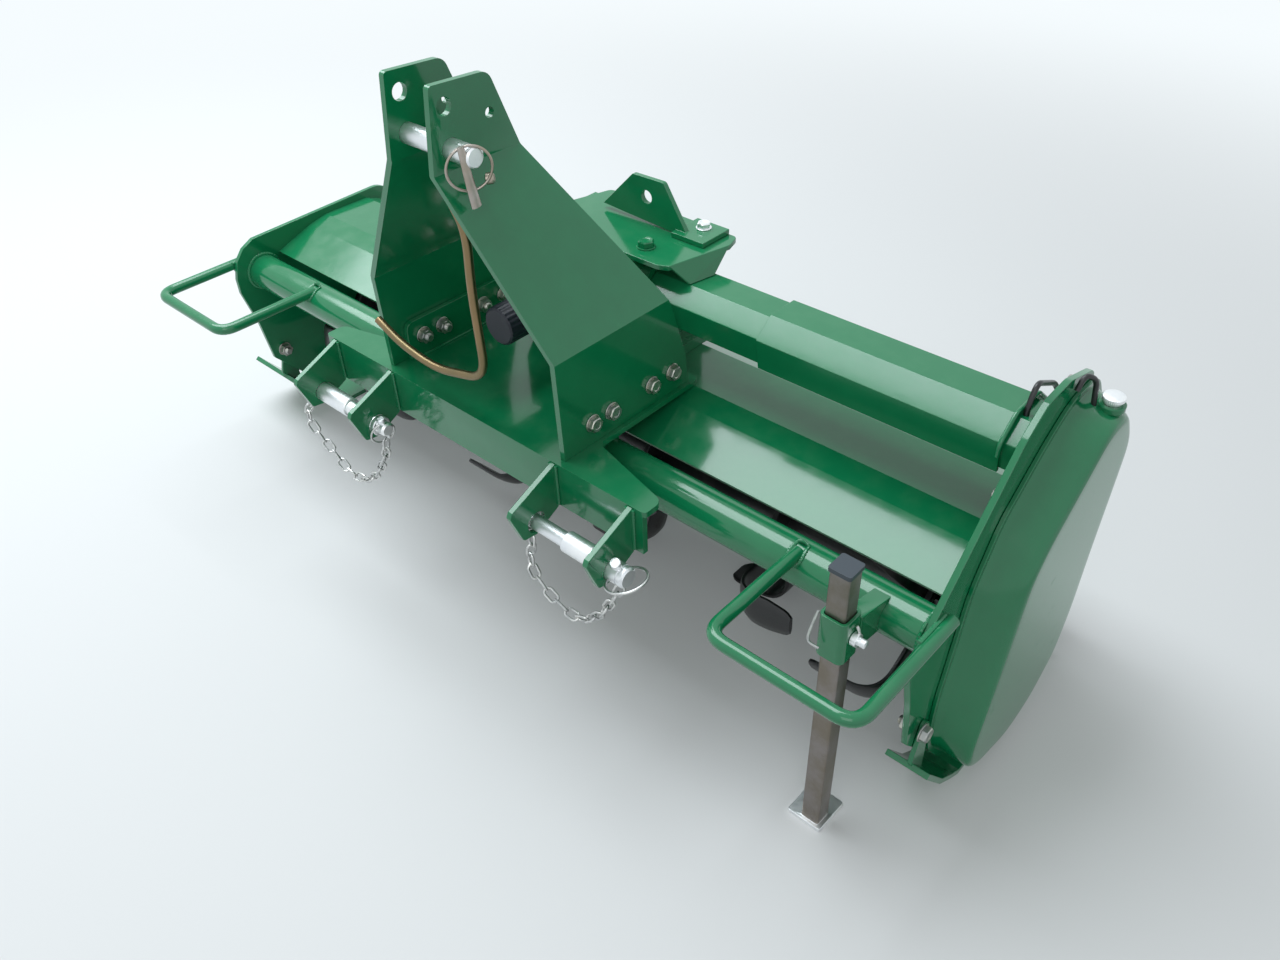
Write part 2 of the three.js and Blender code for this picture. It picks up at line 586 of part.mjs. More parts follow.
// ---- Skids --------------------------------------------------------------------------------------
// A sole under the side plate's lower edge, and two webs that are bolted to the plate's outside.
function skid(side, sign) {
  const sole = [
    [SKID.tipY, SKID.tipZ], [-165, 37], [-133, 14], [SKID.flatFrom, 0], [SKID.back - 14, 0], [SKID.back, 8],
    [SKID.back + 12, 24],
  ];
  const front = outline([[-178, 54], [-180, 150, 6], [-193, 174, 6], [-212, 104], [-200, 86]]);
  const rear = outline([
    [SKID.back + 2, 14], [SKID.back + 8, 150, 10], [SKID.back - 14, 150, 8], [SKID.back - 16, 80],
    [SKID.back - 34, 4], [SKID.back - 14, 3],
  ]);
  const web = span(sign, OUTER + FIT, OUTER + FIT + SKID.web);
  return join(
    alongX(sheet(sole, -SKID.t), ...span(sign, SKID.from, SKID[side])),
    alongX(front, ...web),
    alongX(rear, ...web),
  );
}
for (const [side, sign] of SIDES) add(`skid_${side}`, skid(side, sign), GREEN);

// ---- Parking stand ------------------------------------------------------------------------------
const legHalf = STAND.tube / 2;
const aroundLeg = (half, radius = 0) =>
  box2(STAND.x - half, STAND.y - half, STAND.x + half, STAND.y + half, radius);
function standLeg() {
  const shaft = cut(
    alongZ(aroundLeg(legHalf, 3), 1, STAND.top),
    alongZ(aroundLeg(legHalf - STAND.wall), STAND.footT, STAND.top + 1),
  );
  const foot = box2(STAND.x - 29.5, STAND.y - 17, STAND.x + 18.5, STAND.y + 36, 3);
  return join(shaft, alongZ(foot, 0, STAND.footT));
}
add("stand_leg", standLeg(), YELLOW_ZINC);
add(
  "stand_cap",
  join(
    alongZ(aroundLeg(legHalf - STAND.wall - FIT), STAND.top - 16, STAND.top + 1),
    alongZ(aroundLeg(STAND.capHalf, 3), STAND.top + FIT, STAND.top + 6),
  ),
  PLASTIC,
);

const sleeveInner = legHalf + STAND.play;
const sleeveOuter = sleeveInner + SLEEVE.wall;
const pinRound = (radius, from, to) =>
  alongX(circle(STAND.y, SLEEVE.pinZ, radius, 16), STAND.x + from, STAND.x + to);
function standSleeve() {
  const arm = outline([
    [STAND.y + sleeveOuter - 2, SLEEVE.bottom + 4], [TUBE.y, SLEEVE.bottom - 8], [TUBE.y, TUBE.z + 26],
    [STAND.y + sleeveOuter - 2, SLEEVE.top - 10],
  ]);
  return cut(
    join(
      alongZ(aroundLeg(sleeveOuter, 8), SLEEVE.bottom, SLEEVE.top),
      alongX(arm, STAND.x - 4, STAND.x + sleeveOuter),
    ),
    alongZ(aroundLeg(sleeveInner, 4), SLEEVE.bottom - 20, SLEEVE.top + 20),
    alongX(circle(TUBE.y, TUBE.z, TUBE.r + FIT, 28), STAND.x - 60, STAND.x + 60),
    pinRound(SLEEVE.pinR + FIT, 0, sleeveOuter + 1),
  );
}
add("stand_sleeve", standSleeve(), GREEN);
add(
  "stand_pin",
  join(
    pinRound(SLEEVE.pinR, sleeveInner, sleeveOuter + 16),
    pinRound(SLEEVE.pinR + 3, sleeveOuter + FIT, sleeveOuter + 7),
  ),
  ZINC,
);

// ---- Guard loops in front of both ends of the rotor ---------------------------------------------
function guardLoop(sign) {
  const near = sign * GUARD.near;
  const far = sign * (OUTER + GUARD.bar + FIT);
  const bar = bentBar(
    [
      [near, TUBE.y - 10, GUARD.z], [near, GUARD.front, GUARD.z], [far, GUARD.front, GUARD.z],
      [far, GUARD.back, GUARD.z],
    ],
    GUARD.bar,
    GUARD.bend,
  );
  const room = span(sign, GUARD.near - 30, GUARD.near + 30);
  return cut(bar, alongX(circle(TUBE.y, TUBE.z, TUBE.r + FIT, 28), ...room));
}
for (const [side, sign] of SIDES) add(`guard_loop_${side}`, guardLoop(sign), GREEN);

// ---- Hook that carries the drive shaft when the machine is parked -------------------------------
// Its top end lies along the inside of the left mast plate; the rest hangs just in front of the mast.
const HOOK = { r: 5.5, y: -316, bend: 34 };
const HOOK_LINE = [
  [74 - PLATE, 684], [94 - PLATE, 653.6], [80.5, 581.6], [85.6, 459], [-15.5, 432.5], [-84, 442.7], [-128, 463],
];
add(
  "drive_shaft_hook",
  bentBar(HOOK_LINE.map(([x, z]) => [x, HOOK.y, z]), HOOK.r, HOOK.bend, 44, 8),
  YELLOW_ZINC,
);

const bounds = new THREE.Box3().setFromObject(machine);
const middle = bounds.getCenter(new THREE.Vector3());
machine.position.set(-middle.x, -middle.y, -bounds.min.z);

const part = new THREE.Group();
part.add(machine);
export default part;
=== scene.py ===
# %% [markdown]
# # A rotary tiller for a tractor's three-point hitch
# The machine is a welded green frame over a bladed rotor. A gearbox in the middle takes the tractor's
# drive, a shaft runs inside a housing to a chain case at one end, and the case turns the rotor. The
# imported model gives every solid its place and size. Here each of them gets its finish, and the small
# things are added that make it a real machine: bolts, welds, chains, pins with rings, and wire.

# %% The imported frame
import json
from math import cos, pi, radians, sin, tau

import bmesh
import bpy
import numpy as np
from mathutils import Matrix, Vector

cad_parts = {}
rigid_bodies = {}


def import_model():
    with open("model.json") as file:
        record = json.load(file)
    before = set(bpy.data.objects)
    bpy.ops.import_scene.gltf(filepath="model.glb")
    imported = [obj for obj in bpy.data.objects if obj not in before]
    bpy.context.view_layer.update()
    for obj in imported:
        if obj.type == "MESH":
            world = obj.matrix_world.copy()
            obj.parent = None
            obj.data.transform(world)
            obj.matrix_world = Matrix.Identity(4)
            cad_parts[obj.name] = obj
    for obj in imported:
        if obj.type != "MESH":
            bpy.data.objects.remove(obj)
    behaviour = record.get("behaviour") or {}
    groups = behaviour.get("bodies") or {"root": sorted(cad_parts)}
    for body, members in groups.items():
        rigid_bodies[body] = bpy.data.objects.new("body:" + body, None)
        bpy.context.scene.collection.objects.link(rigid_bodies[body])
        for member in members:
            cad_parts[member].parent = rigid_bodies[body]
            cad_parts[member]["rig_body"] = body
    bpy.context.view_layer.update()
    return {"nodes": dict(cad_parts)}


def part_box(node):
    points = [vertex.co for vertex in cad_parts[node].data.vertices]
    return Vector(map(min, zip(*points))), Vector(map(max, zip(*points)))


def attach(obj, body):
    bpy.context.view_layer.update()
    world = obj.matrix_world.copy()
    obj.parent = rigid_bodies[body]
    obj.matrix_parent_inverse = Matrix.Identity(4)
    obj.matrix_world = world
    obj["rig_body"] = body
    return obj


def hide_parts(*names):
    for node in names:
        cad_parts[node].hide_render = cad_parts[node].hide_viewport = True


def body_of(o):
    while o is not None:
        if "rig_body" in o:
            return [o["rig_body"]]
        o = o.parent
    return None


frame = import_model()

# %% [markdown]
# ## Drawing millimetres
# A drawing of a machine counts from its own parts: x from the middle between the side plates, y from
# just behind the rotor's axis, z from the ground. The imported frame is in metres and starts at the
# middle of the outer box. One offset, found from two nodes, leads from the first to the second, so that
# every place below can be said in drawing millimetres.

# %% From the drawing to the frame
rod_low, rod_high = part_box("flap_hinge_rod")
shaft_low, shaft_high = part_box("rotor_shaft")
ROTOR = (-10.0, 172.0)  # y and z of the rotor's axis in the drawing
ORIGIN = np.array([(rod_low.x + rod_high.x) / 2, (shaft_low.y + shaft_high.y) / 2 - ROTOR[0] / 1000, 0.0])


def metres(points):
    """Drawing millimetres to metres in the frame: p / 1000 + ORIGIN."""
    return np.asarray(points, float) / 1000 + ORIGIN


def drawn(node):
    """A node's lowest and highest corner in drawing millimetres."""
    return [(np.array(corner) - ORIGIN) * 1000 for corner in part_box(node)]


INNER = drawn("side_plate_left")[0][0]  # inner faces of the side plates
OUTER = drawn("side_plate_left")[1][0]
HITCH_X = sum(corner[0] for corner in drawn("pto_shaft")) / 2
LINK_X = 224.5  # from the headstock's middle to the middle of each pair of yokes
print("inner face at", round(INNER, 1), "mm, headstock middle at", round(HITCH_X, 1), "mm")

# %% [markdown]
# ## Camera
# The view is that of a person who stands in front of the machine, near the chain case, and looks down
# on it. Turning the camera by three plain angles says this in the words of someone who holds one.

# %% Camera
def look(place, azimuth, elevation, roll, lens):
    """Azimuth 0 looks along +Y and turns left; elevation looks down; roll turns about the line of sight."""
    data = bpy.data.cameras.new("camera")
    data.lens, data.sensor_width = lens, 36
    camera = bpy.data.objects.new("camera", data)
    turn = (
        Matrix.Rotation(radians(azimuth), 4, "Z")
        @ Matrix.Rotation(radians(90 - elevation), 4, "X")
        @ Matrix.Rotation(radians(roll), 4, "Z")
    )
    camera.matrix_world = Matrix.Translation(metres(place).tolist()) @ turn
    bpy.context.collection.objects.link(camera)
    bpy.context.scene.camera = camera
    return camera


camera = look((968.4, -987.2, 1175.3), azimuth=43.3, elevation=38.85, roll=-1.93, lens=30.15)
print("camera at", [round(c, 3) for c in camera.location])

# %% [markdown]
# ## Light
# Glossy paint shows what stands round it, so the light is made first and the paint after it. Small lamps
# would draw hard spots. One wide lamp overhead, a weak one in front and an even white sky stand in for an
# overcast day, which draws long soft highlights along every tube. The sky is full white where it is
# looked at, directly or in a reflection, and about half as strong where it lights the machine, so that
# colours render as they are written.

# %% Light
def lamp(name, place, target, size, power, colour=(1, 1, 1)):
    """A rectangular area lamp, size = (long, wide), at place and turned to target, all in metres."""
    data = bpy.data.lights.new(name, "AREA")
    data.shape, data.size, data.size_y, data.energy = "RECTANGLE", *size, power
    data.color = colour
    light = bpy.data.objects.new(name, data)
    light.location = place
    aim = Vector(place) - Vector(target)
    light.rotation_euler = aim.to_track_quat("Z", "Y").to_euler()
    bpy.context.collection.objects.link(light)
    return light


lamp("sky_lamp", (-2.1, -0.1, 3.4), (-2.1, -0.1, 0), size=(4.2, 2.4), power=185, colour=(0.88, 0.95, 1.0))
lamp("front_lamp", (1.6, -2.4, 2.4), (0, 0, 0.3), size=(1.8, 1.8), power=14)

SKY_COLOUR = (0.92, 0.975, 1.0)
scene = bpy.context.scene
scene.view_settings.view_transform = "Standard"
world = bpy.data.worlds.new("overcast")
world.use_nodes = True
scene.world = world
nodes, links = world.node_tree.nodes, world.node_tree.links
sky = nodes["Background"]
sky.inputs["Color"].default_value = (*SKY_COLOUR, 1)
path = nodes.new("ShaderNodeLightPath")
seen = path.outputs["Is Camera Ray"]
for kind in ("Is Glossy Ray", "Is Transmission Ray"):
    larger = nodes.new("ShaderNodeMath")
    larger.operation = "MAXIMUM"
    links.new(seen, larger.inputs[0])
    links.new(path.outputs[kind], larger.inputs[1])
    seen = larger.outputs[0]
strength = nodes.new("ShaderNodeMapRange")
strength.inputs["To Min"].default_value = 0.48
strength.inputs["To Max"].default_value = 1.0
links.new(seen, strength.inputs["Value"])
links.new(strength.outputs["Result"], sky.inputs["Strength"])

# %% [markdown]
# ## Surfaces as arrays
# Almost everything that is added is a surface of two parameters: a profile carried round an axis, or a
# section carried along a line. It could be made from primitives and modifiers, one by one. Working the
# whole grid out as one array is exact and quick, and the same function makes a bolt, a pin, a tube and
# a weld. The first helper turns any such grid into a closed shell whose faces point outwards.

# %% A grid becomes a closed shell
def outward(points, faces):
    """Turns the faces round if the shell's signed volume, a sum of a . (b x c) / 6 over fans, is negative."""
    fans = np.array([(f[0], f[k], f[k + 1]) for f in faces for k in range(1, len(f) - 1)])
    a, b, c = points[fans[:, 0]], points[fans[:, 1]], points[fans[:, 2]]
    volume = np.einsum("ij,ij->i", a, np.cross(b, c)).sum()
    return faces if volume > 0 else [face[::-1] for face in faces]


def shell(grid, ring=False):
    """Quads over points[u, v] that close in v; ring closes them in u too, else both ends get one face."""
    grid = np.asarray(grid, float)
    rows, columns = grid.shape[:2]
    index = np.arange(rows * columns).reshape(rows, columns)
    ends = [] if ring else [index[0][::-1].tolist(), index[-1].tolist()]
    if ring:
        index = np.vstack([index, index[:1]])
    index = np.hstack([index, index[:, :1]])
    quads = np.stack([index[:-1, :-1], index[:-1, 1:], index[1:, 1:], index[1:, :-1]], -1).reshape(-1, 4)
    points = grid.reshape(-1, 3)
    return points, outward(points - points.mean(0), quads.tolist() + ends)


# %% [markdown]
# ## A profile round an axis
# What comes off a lathe is a list of places along the axis, each with its radius. A growth of that
# radius, given for each row and angle, makes the same function good for hexagons, knurls and ribs.

# %% A profile round an axis
def angles(count):
    """count angles spread evenly over a full turn."""
    return np.linspace(0, tau, count, endpoint=False)


def axes(way):
    """Three unit vectors: way itself and two that are square to it."""
    x = np.asarray(way, float) / np.linalg.norm(way)
    helper = np.array([0, 0, 1.0]) if abs(x[2]) < 0.9 else np.array([0, 1.0, 0])
    y = np.cross(helper, x)
    y /= np.linalg.norm(y)
    return x, y, np.cross(x, y)


def turned(profile, centre, way, sides=40, growth=1.0):
    """point = centre + along * x + radius * growth * (cos(angle) * y + sin(angle) * z), x being way."""
    x, y, z = axes(way)
    along, radius = np.asarray(profile, float).T
    angle = angles(sides)
    around = np.outer(np.cos(angle), y) + np.outer(np.sin(angle), z)
    reach = radius[:, None] * np.broadcast_to(growth, (len(radius), sides))
    return shell(np.asarray(centre, float) + along[:, None, None] * x + reach[..., None] * around)


print("a plain disc has", len(turned([(0, 1), (1, 1)], (0, 0, 0), (1, 0, 0))[0]), "points")

# %% [markdown]
# ## A section along a line
# A bent bar is a round section carried along a line. One direction that is given for the whole line
# keeps the section from twisting. The line itself starts as a few corners, as on a bending plan.

# %% A section along a line
def swept(path, radius, up=(0, 0, 1), sides=16, ring=False, flat=1.0):
    """point = path + radius * (cos * side + flat * sin * normal); side is square to up and to the line."""
    path = np.asarray(path, float)
    around = np.vstack([path[-1:], path, path[:1]]) if ring else path
    tangent = np.gradient(around, axis=0)[1:-1] if ring else np.gradient(path, axis=0)
    tangent /= np.linalg.norm(tangent, axis=1, keepdims=True)
    side = np.cross(np.asarray(up, float), tangent)
    side /= np.linalg.norm(side, axis=1, keepdims=True)
    normal = np.cross(tangent, side)
    angle = angles(sides)[None, :, None]
    radius = np.broadcast_to(radius, len(path))[:, None, None]
    section = np.cos(angle) * side[:, None] + flat * np.sin(angle) * normal[:, None]
    return shell(path[:, None] + radius * section, ring)


def bent(corners, bend, steps=9):
    """A line through corners; an inner one is (1-t)^2 a + 2t(1-t) corner + t^2 b, bend mm each way."""
    corners = np.asarray(corners, float)
    t = np.linspace(0, 1, steps)[:, None]
    line = [corners[:1]]
    for before, corner, after in zip(corners, corners[1:], corners[2:]):
        reach = [other - corner for other in (before, after)]
        a, b = (corner + way * min(bend / np.linalg.norm(way), 0.45) for way in reach)
        line.append((1 - t) ** 2 * a + 2 * t * (1 - t) * corner + t**2 * b)
    return np.vstack([*line, corners[-1:]])


def evenly(path, step):
    """The same line with points about step mm apart, found by its running length."""
    path = np.asarray(path, float)
    length = np.concatenate([[0], np.cumsum(np.linalg.norm(np.diff(path, axis=0), axis=1))])
    wanted = np.linspace(0, length[-1], max(3, int(length[-1] / step) + 1))
    return np.stack([np.interp(wanted, length, path[:, k]) for k in range(3)], -1)


corner = bent([(0, 0, 0), (100, 0, 0), (100, 100, 0)], 30)
print("a corner of 30 mm has", len(corner), "points, and", len(evenly(corner, 5)), "when evened out")

# %% [markdown]
# ## Shells become one piece
# Joining many shells into one mesh keeps the list of objects as short as a parts list: all bolts of the
# mast are one piece, and so is a whole blade ring. Each piece says what it rides on, so that it moves
# with that body, and the imported solids it stands for are hidden.

# %% Shells become one piece
def piece(name, shells, material, body="frame", smooth=35, stands_for=()):
    """Joins shells (points in drawing mm, faces) into one mesh that rides on a body."""
    points, faces, count = [], [], 0
    for shell_points, shell_faces in shells:
        points.append(shell_points)
        faces += [[count + k for k in face] for face in shell_faces]
        count += len(shell_points)
    mesh = bpy.data.meshes.new(name)
    mesh.from_pydata(metres(np.vstack(points)).tolist(), [], faces)
    mesh.shade_smooth()
    mesh.set_sharp_from_angle(angle=radians(smooth))
    made = bpy.data.objects.new(name, mesh)
    made.data.materials.append(material)
    bpy.context.collection.objects.link(made)
    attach(made, body)
    if stands_for:
        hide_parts(*stands_for)
    print(f"{name}: {len(shells)} shells, {len(faces)} faces")
    return made


# %% [markdown]
# ## Writing shader maths as it is said
# A node tree for a sum of three things is tedious to wire by hand. The small class below wraps a socket,
# so that `noise * 0.2 + 0.9` adds the Math nodes by itself, and a finish adds any other node with one
# method.

# %% Fields and finishes
class Field:
    """A value that varies over a surface; + - and * with numbers or other fields add Math nodes."""

    def __init__(self, finish, socket):
        self.finish, self.socket = finish, socket

    def maths(self, operation, *values):
        return self.finish.node("Math", {"operation": operation}, dict(enumerate(values)))

    def __add__(self, other):
        return self.maths("ADD", self, other)

    def __sub__(self, other):
        return self.maths("SUBTRACT", self, other)

    def __rsub__(self, other):
        return self.maths("SUBTRACT", other, self)

    def __mul__(self, other):
        return self.maths("MULTIPLY", self, other)

    __radd__, __rmul__ = __add__, __mul__

    def clipped(self, low=0.0, high=1.0):
        return self.maths("MINIMUM", self.maths("MAXIMUM", self, low), high)


class Finish:
    """One material: a Principled shader and the nodes that feed it."""

    def __init__(self, name, **constants):
        self.material = bpy.data.materials.new(name)
        self.material.use_nodes = True
        self.tree = self.material.node_tree
        self.shader = self.tree.nodes["Principled BSDF"]
        self.place = self.node("TexCoord", output="Object")
        self.set(self.shader, constants)

    def set(self, node, values):
        for key, value in values.items():
            socket = node.inputs[key.replace("_", " ") if isinstance(key, str) else key]
            if isinstance(value, Field):
                self.tree.links.new(value.socket, socket)
            else:
                socket.default_value = (*value, 1) if isinstance(value, tuple) and len(value) == 3 \
                    and len(socket.default_value) == 4 else value

    def node(self, kind, settings=None, values=None, output=0):
        """A shader node of a kind, its settings first, then its sockets' values or links."""
        made = self.tree.nodes.new("ShaderNode" + kind)
        for key, value in (settings or {}).items():
            setattr(made, key, value)
        self.set(made, values or {})
        return Field(self, made.outputs[output])

    def noise(self, scale, detail=2.0, stretch=(1, 1, 1), roughness=0.5):
        """Noise over the object's own place; stretch squeezes it along an axis."""
        place = self.node("Mapping", values={"Vector": self.place, "Scale": stretch})
        return self.node("TexNoise", values={"Vector": place, "Scale": scale, "Detail": detail,
                                             "Roughness": roughness})

    def step(self, value, low, high):
        """0 below low, 1 above high, smooth between."""
        settings = {"interpolation_type": "SMOOTHSTEP"}
        return self.node("MapRange", settings, {"Value": value, "From Min": low, "From Max": high})

    def mix(self, mask, first, second):
        """The first colour where the mask is 0 and the second where it is 1."""
        return self.node("Mix", {"data_type": "RGBA"}, {0: mask, 6: first, 7: second}, output=2)

    def upward(self):
        """How far a face looks up: the normal's z."""
        normal = self.node("NewGeometry", output="Normal")
        return self.node("SeparateXYZ", values={0: normal}, output=2)

    def paint(self, **fields):
        self.set(self.shader, fields)
        return self.material

    def relief(self, height, distance, strength=1.0):
        """A Bump node; distance is in metres."""
        return self.node("Bump", values={"Height": height, "Distance": distance, "Strength": strength})


print("shader helpers ready")

# %% [markdown]
# ## Green enamel
# The frame is sprayed with glossy green enamel. Close up, such paint is never even: the film is a little
# thinner in places, it has the faint ripple that painters call orange peel, fine dust lies on what faces
# up, and handling leaves dull rubbed patches. One colour would look like plastic. A Principled shader
# with a thin clear coat gives the sky's reflection, and noise at three scales gives the rest.

# %% Enamel, in green and with a second look for cast and welded pieces
def enamel(name, colour, rough, peel, dust=0.05):
    """Base colour varies by broad noise, dust lies on upward faces, fine noise makes the orange peel."""
    f = Finish(name, IOR=1.52, Coat_Weight=0.2, Coat_Roughness=0.05)
    broad, mottle, fine = f.noise(2.4, 2), f.noise(34, 4), f.noise(330, 2)
    film = f.step(broad * 0.6 + mottle * 0.4, 0.36, 0.64)
    nibs = f.step(f.noise(300, 3, roughness=0.7), 0.70, 0.75)
    scuffs = f.step(f.noise(22, 6, (0.2, 1, 1), 0.75), 0.60, 0.68) * f.step(f.noise(4.5, 2), 0.5, 0.62)
    settled = f.step(f.upward(), 0.5, 1.0) * f.step(mottle + broad * 0.5, 0.62, 0.95) * dust
    paint = f.mix(film, tuple(c * 0.95 for c in colour), tuple(c * 1.05 for c in colour))
    paint = f.mix(nibs * 0.3 + scuffs * 0.25, paint, (colour[0] + 0.02, colour[1] * 1.25, colour[2] * 1.4))
    return f.paint(
        Base_Color=f.mix(settled, paint, (0.17, 0.20, 0.15)),
        Roughness=(rough + scuffs * 0.14 + settled * 0.9 + mottle * 0.05).clipped(0.04, 0.9),
        Normal=f.relief(fine * 0.5 + f.noise(110, 2) * 1.6 + nibs * 0.8, 0.00003 * peel, 0.6),
    )


GREEN_COLOUR = (0.005, 0.178, 0.066)
GREEN = enamel("green_enamel", GREEN_COLOUR, 0.10, peel=1.0)
CAST_GREEN = enamel("green_enamel_cast", GREEN_COLOUR, 0.22, peel=9.0, dust=0.2)
BEAD_GREEN = enamel("green_enamel_weld", (0.007, 0.19, 0.072), 0.20, peel=5.0)
print("green enamel in three looks")

# %% [markdown]
# ## Bare and plated metal, black enamel and plastic
# Pins, chains and bolts are zinc plated: bright, faintly blue, with cloudy patches. The parking stand,
# the hook and the rings have the yellow passivation that turns a little pink and green in patches. The
# blades are dipped in satin black and rub bright where they meet soil. Each is the same recipe with
# other numbers, apart from plastic, which has a moulded grain.

# %% Metals
def metal(name, colour, tint, rough, streak=(1, 1, 1), turning=0.0, patch=14.0):
    """Two tones mixed by cloudy noise; turning marks are rings of fine noise squeezed along x."""
    f = Finish(name, Metallic=1.0)
    cloud = f.step(f.noise(patch, 5, roughness=0.62), 0.36, 0.66)
    fine = f.noise(260, 3, streak)
    marks = f.noise(1500, 1, (1, 0.02, 0.02))
    grime = f.step(f.noise(55, 6, roughness=0.7), 0.6, 0.8)
    tone = f.mix(cloud, colour, tint)
    return f.paint(
        Base_Color=f.mix(grime * 0.45, tone, tuple(c * 0.35 for c in colour)),
        Roughness=(rough + fine * 0.16 + cloud * 0.06 + grime * 0.18 - 0.05).clipped(0.05, 0.95),
        Normal=f.relief(fine * 0.5 + marks * turning, 0.00004, 0.5),
    )


ZINC = metal("zinc", (0.90, 0.91, 0.91), (0.80, 0.82, 0.85), 0.32, turning=1.0)
BOLT_ZINC = metal("zinc_bolts", (0.52, 0.51, 0.45), (0.36, 0.37, 0.36), 0.34, patch=70)
LINK_ZINC = metal("zinc_links", (0.66, 0.66, 0.64), (0.46, 0.47, 0.47), 0.3, patch=60)
YELLOW = metal("yellow_zinc", (0.36, 0.31, 0.25), (0.47, 0.43, 0.41), 0.33, streak=(6, 6, 0.3), patch=18)
LEG_ZINC = metal("yellow_zinc_tube", (0.20, 0.174, 0.14), (0.263, 0.24, 0.23), 0.36, (6, 6, 0.3), patch=18)
BRONZE = metal("yellow_zinc_bar", (0.27, 0.185, 0.10), (0.20, 0.16, 0.085), 0.3, patch=9)
STEEL = metal("machined_steel", (0.46, 0.46, 0.45), (0.30, 0.30, 0.30), 0.28, turning=1.0)


def black_enamel():
    """Satin black with soil-rubbed bright specks spread by noise over the whole surface."""
    f = Finish("black_enamel", IOR=1.5, Coat_Weight=0.15, Coat_Roughness=0.2)
    rubbed = f.step(f.noise(70, 6, roughness=0.75), 0.63, 0.72)
    soil = f.step(f.noise(16, 5, roughness=0.7), 0.56, 0.74)
    tone = f.mix(soil * 0.35, (0.010, 0.010, 0.011), (0.055, 0.043, 0.032))
    return f.paint(
        Base_Color=f.mix(rubbed * 0.5, tone, (0.16, 0.16, 0.155)),
        Metallic=rubbed * 0.6,
        Roughness=(0.3 + soil * 0.3 + f.noise(300, 2) * 0.12).clipped(),
        Normal=f.relief(f.noise(150, 4) + f.noise(600, 2) * 0.4, 0.00025, 0.6),
    )


def plastic(name, colour):
    """Moulded plastic: fine grain, paler where it is scuffed."""
    f = Finish(name, IOR=1.46)
    grain = f.noise(1200, 2)
    scuff = f.step(f.noise(60, 6, (1, 1, 0.3), 0.7), 0.58, 0.75)
    return f.paint(
        Base_Color=f.mix(scuff * 0.6, colour, (0.075, 0.08, 0.095)),
        Roughness=(0.36 + scuff * 0.2 + grain * 0.1).clipped(),
        Normal=f.relief(grain, 0.00008, 0.5),
    )


BLACK = black_enamel()
PLASTIC = plastic("black_plastic", (0.016, 0.019, 0.030))
GREY_PLASTIC = plastic("grey_plastic", (0.045, 0.058, 0.072))
print("finishes:", [m.name for m in bpy.data.materials])

# %% [markdown]
# ## The floor
# A flat pale sheet, much larger than the machine. It takes the machine's soft shadow, which is what
# makes the machine stand on something. Away from the machine the lamps reach it less and less, and a
# grey rim would show. So for what looks at it, directly or in a reflection, a glow of the sky's own
# white is mixed in with the distance, and the floor ends without a horizon.

# %% Floor
FLOOR_HALF = 9.0  # metres
FADE = (1.1, 3.4)  # metres from the middle between which the floor goes over to white


def floor():
    """A square at z = 0; with the distance from its middle its look goes over to an even glow."""
    mesh = bpy.data.meshes.new("floor")
    corners = [(-1, -1), (1, -1), (1, 1), (-1, 1)]
    mesh.from_pydata([(x * FLOOR_HALF, y * FLOOR_HALF, 0) for x, y in corners], [], [(0, 1, 2, 3)])
    made = bpy.data.objects.new("floor", mesh)
    bpy.context.collection.objects.link(made)
    f = Finish("pale_floor", Roughness=0.85)
    f.paint(Base_Color=f.mix(f.noise(0.8, 2), (0.64, 0.64, 0.635), (0.66, 0.66, 0.655)))
    away = f.node("VectorMath", {"operation": "LENGTH"}, {0: f.place}, output="Value")
    looked_at = f.node("LightPath", output="Is Camera Ray") + f.node("LightPath", output="Is Glossy Ray")
    looked_at = looked_at + f.node("LightPath", output="Is Transmission Ray")
    glow = f.node("Emission", values={"Color": SKY_COLOUR, "Strength": 1.0})
    share = looked_at.clipped() * (f.step(away, *FADE) * 0.9 + 0.1)
    mixed = f.node("MixShader", values={0: share, 1: Field(f, f.shader.outputs[0]), 2: glow})
    f.tree.links.new(mixed.socket, f.tree.nodes["Material Output"].inputs["Surface"])
    made.data.materials.append(f.material)
    return made


print("floor:", floor().dimensions.x, "m wide")

# %% [markdown]
# ## Plates, folded and cut
# Side plates, hood, mast and flap are sheet steel: laser cut, folded, then welded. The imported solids
# have their outlines exactly, but every edge is a perfect corner, and a perfect corner shows no light.
# Modelling each plate again would risk its size. A copy of the solid gets its triangles merged into
# flat faces and a narrow rounded edge, and stands for the solid.

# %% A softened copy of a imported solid
def softened(node, material, edge=0.9, angle=32, rings=2):
    """Copies a node, merges its triangles, and rounds each edge that folds by more than angle degrees."""
    source = frame["nodes"][node]
    copy = bpy.data.objects.new(node + "_finished", source.data.copy())
    body = body_of(source)
    work = bmesh.new()
    work.from_mesh(copy.data)
    bmesh.ops.remove_doubles(work, verts=work.verts, dist=0.00002)
    bmesh.ops.dissolve_limit(work, angle_limit=radians(0.6), verts=work.verts, edges=work.edges)
    work.to_mesh(copy.data)
    work.free()
    copy.data.materials.clear()
    copy.data.materials.append(material)
    copy.data.shade_smooth()
    copy.data.set_sharp_from_angle(angle=radians(angle))
    rounding = copy.modifiers.new("edge", "BEVEL")
    rounding.width, rounding.segments = edge / 1000, rings
    rounding.limit_method, rounding.angle_limit = "ANGLE", radians(angle)
    rounding.harden_normals = True
    bpy.context.collection.objects.link(copy)
    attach(copy, body if isinstance(body, str) else body[0])
    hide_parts(node)
    return copy


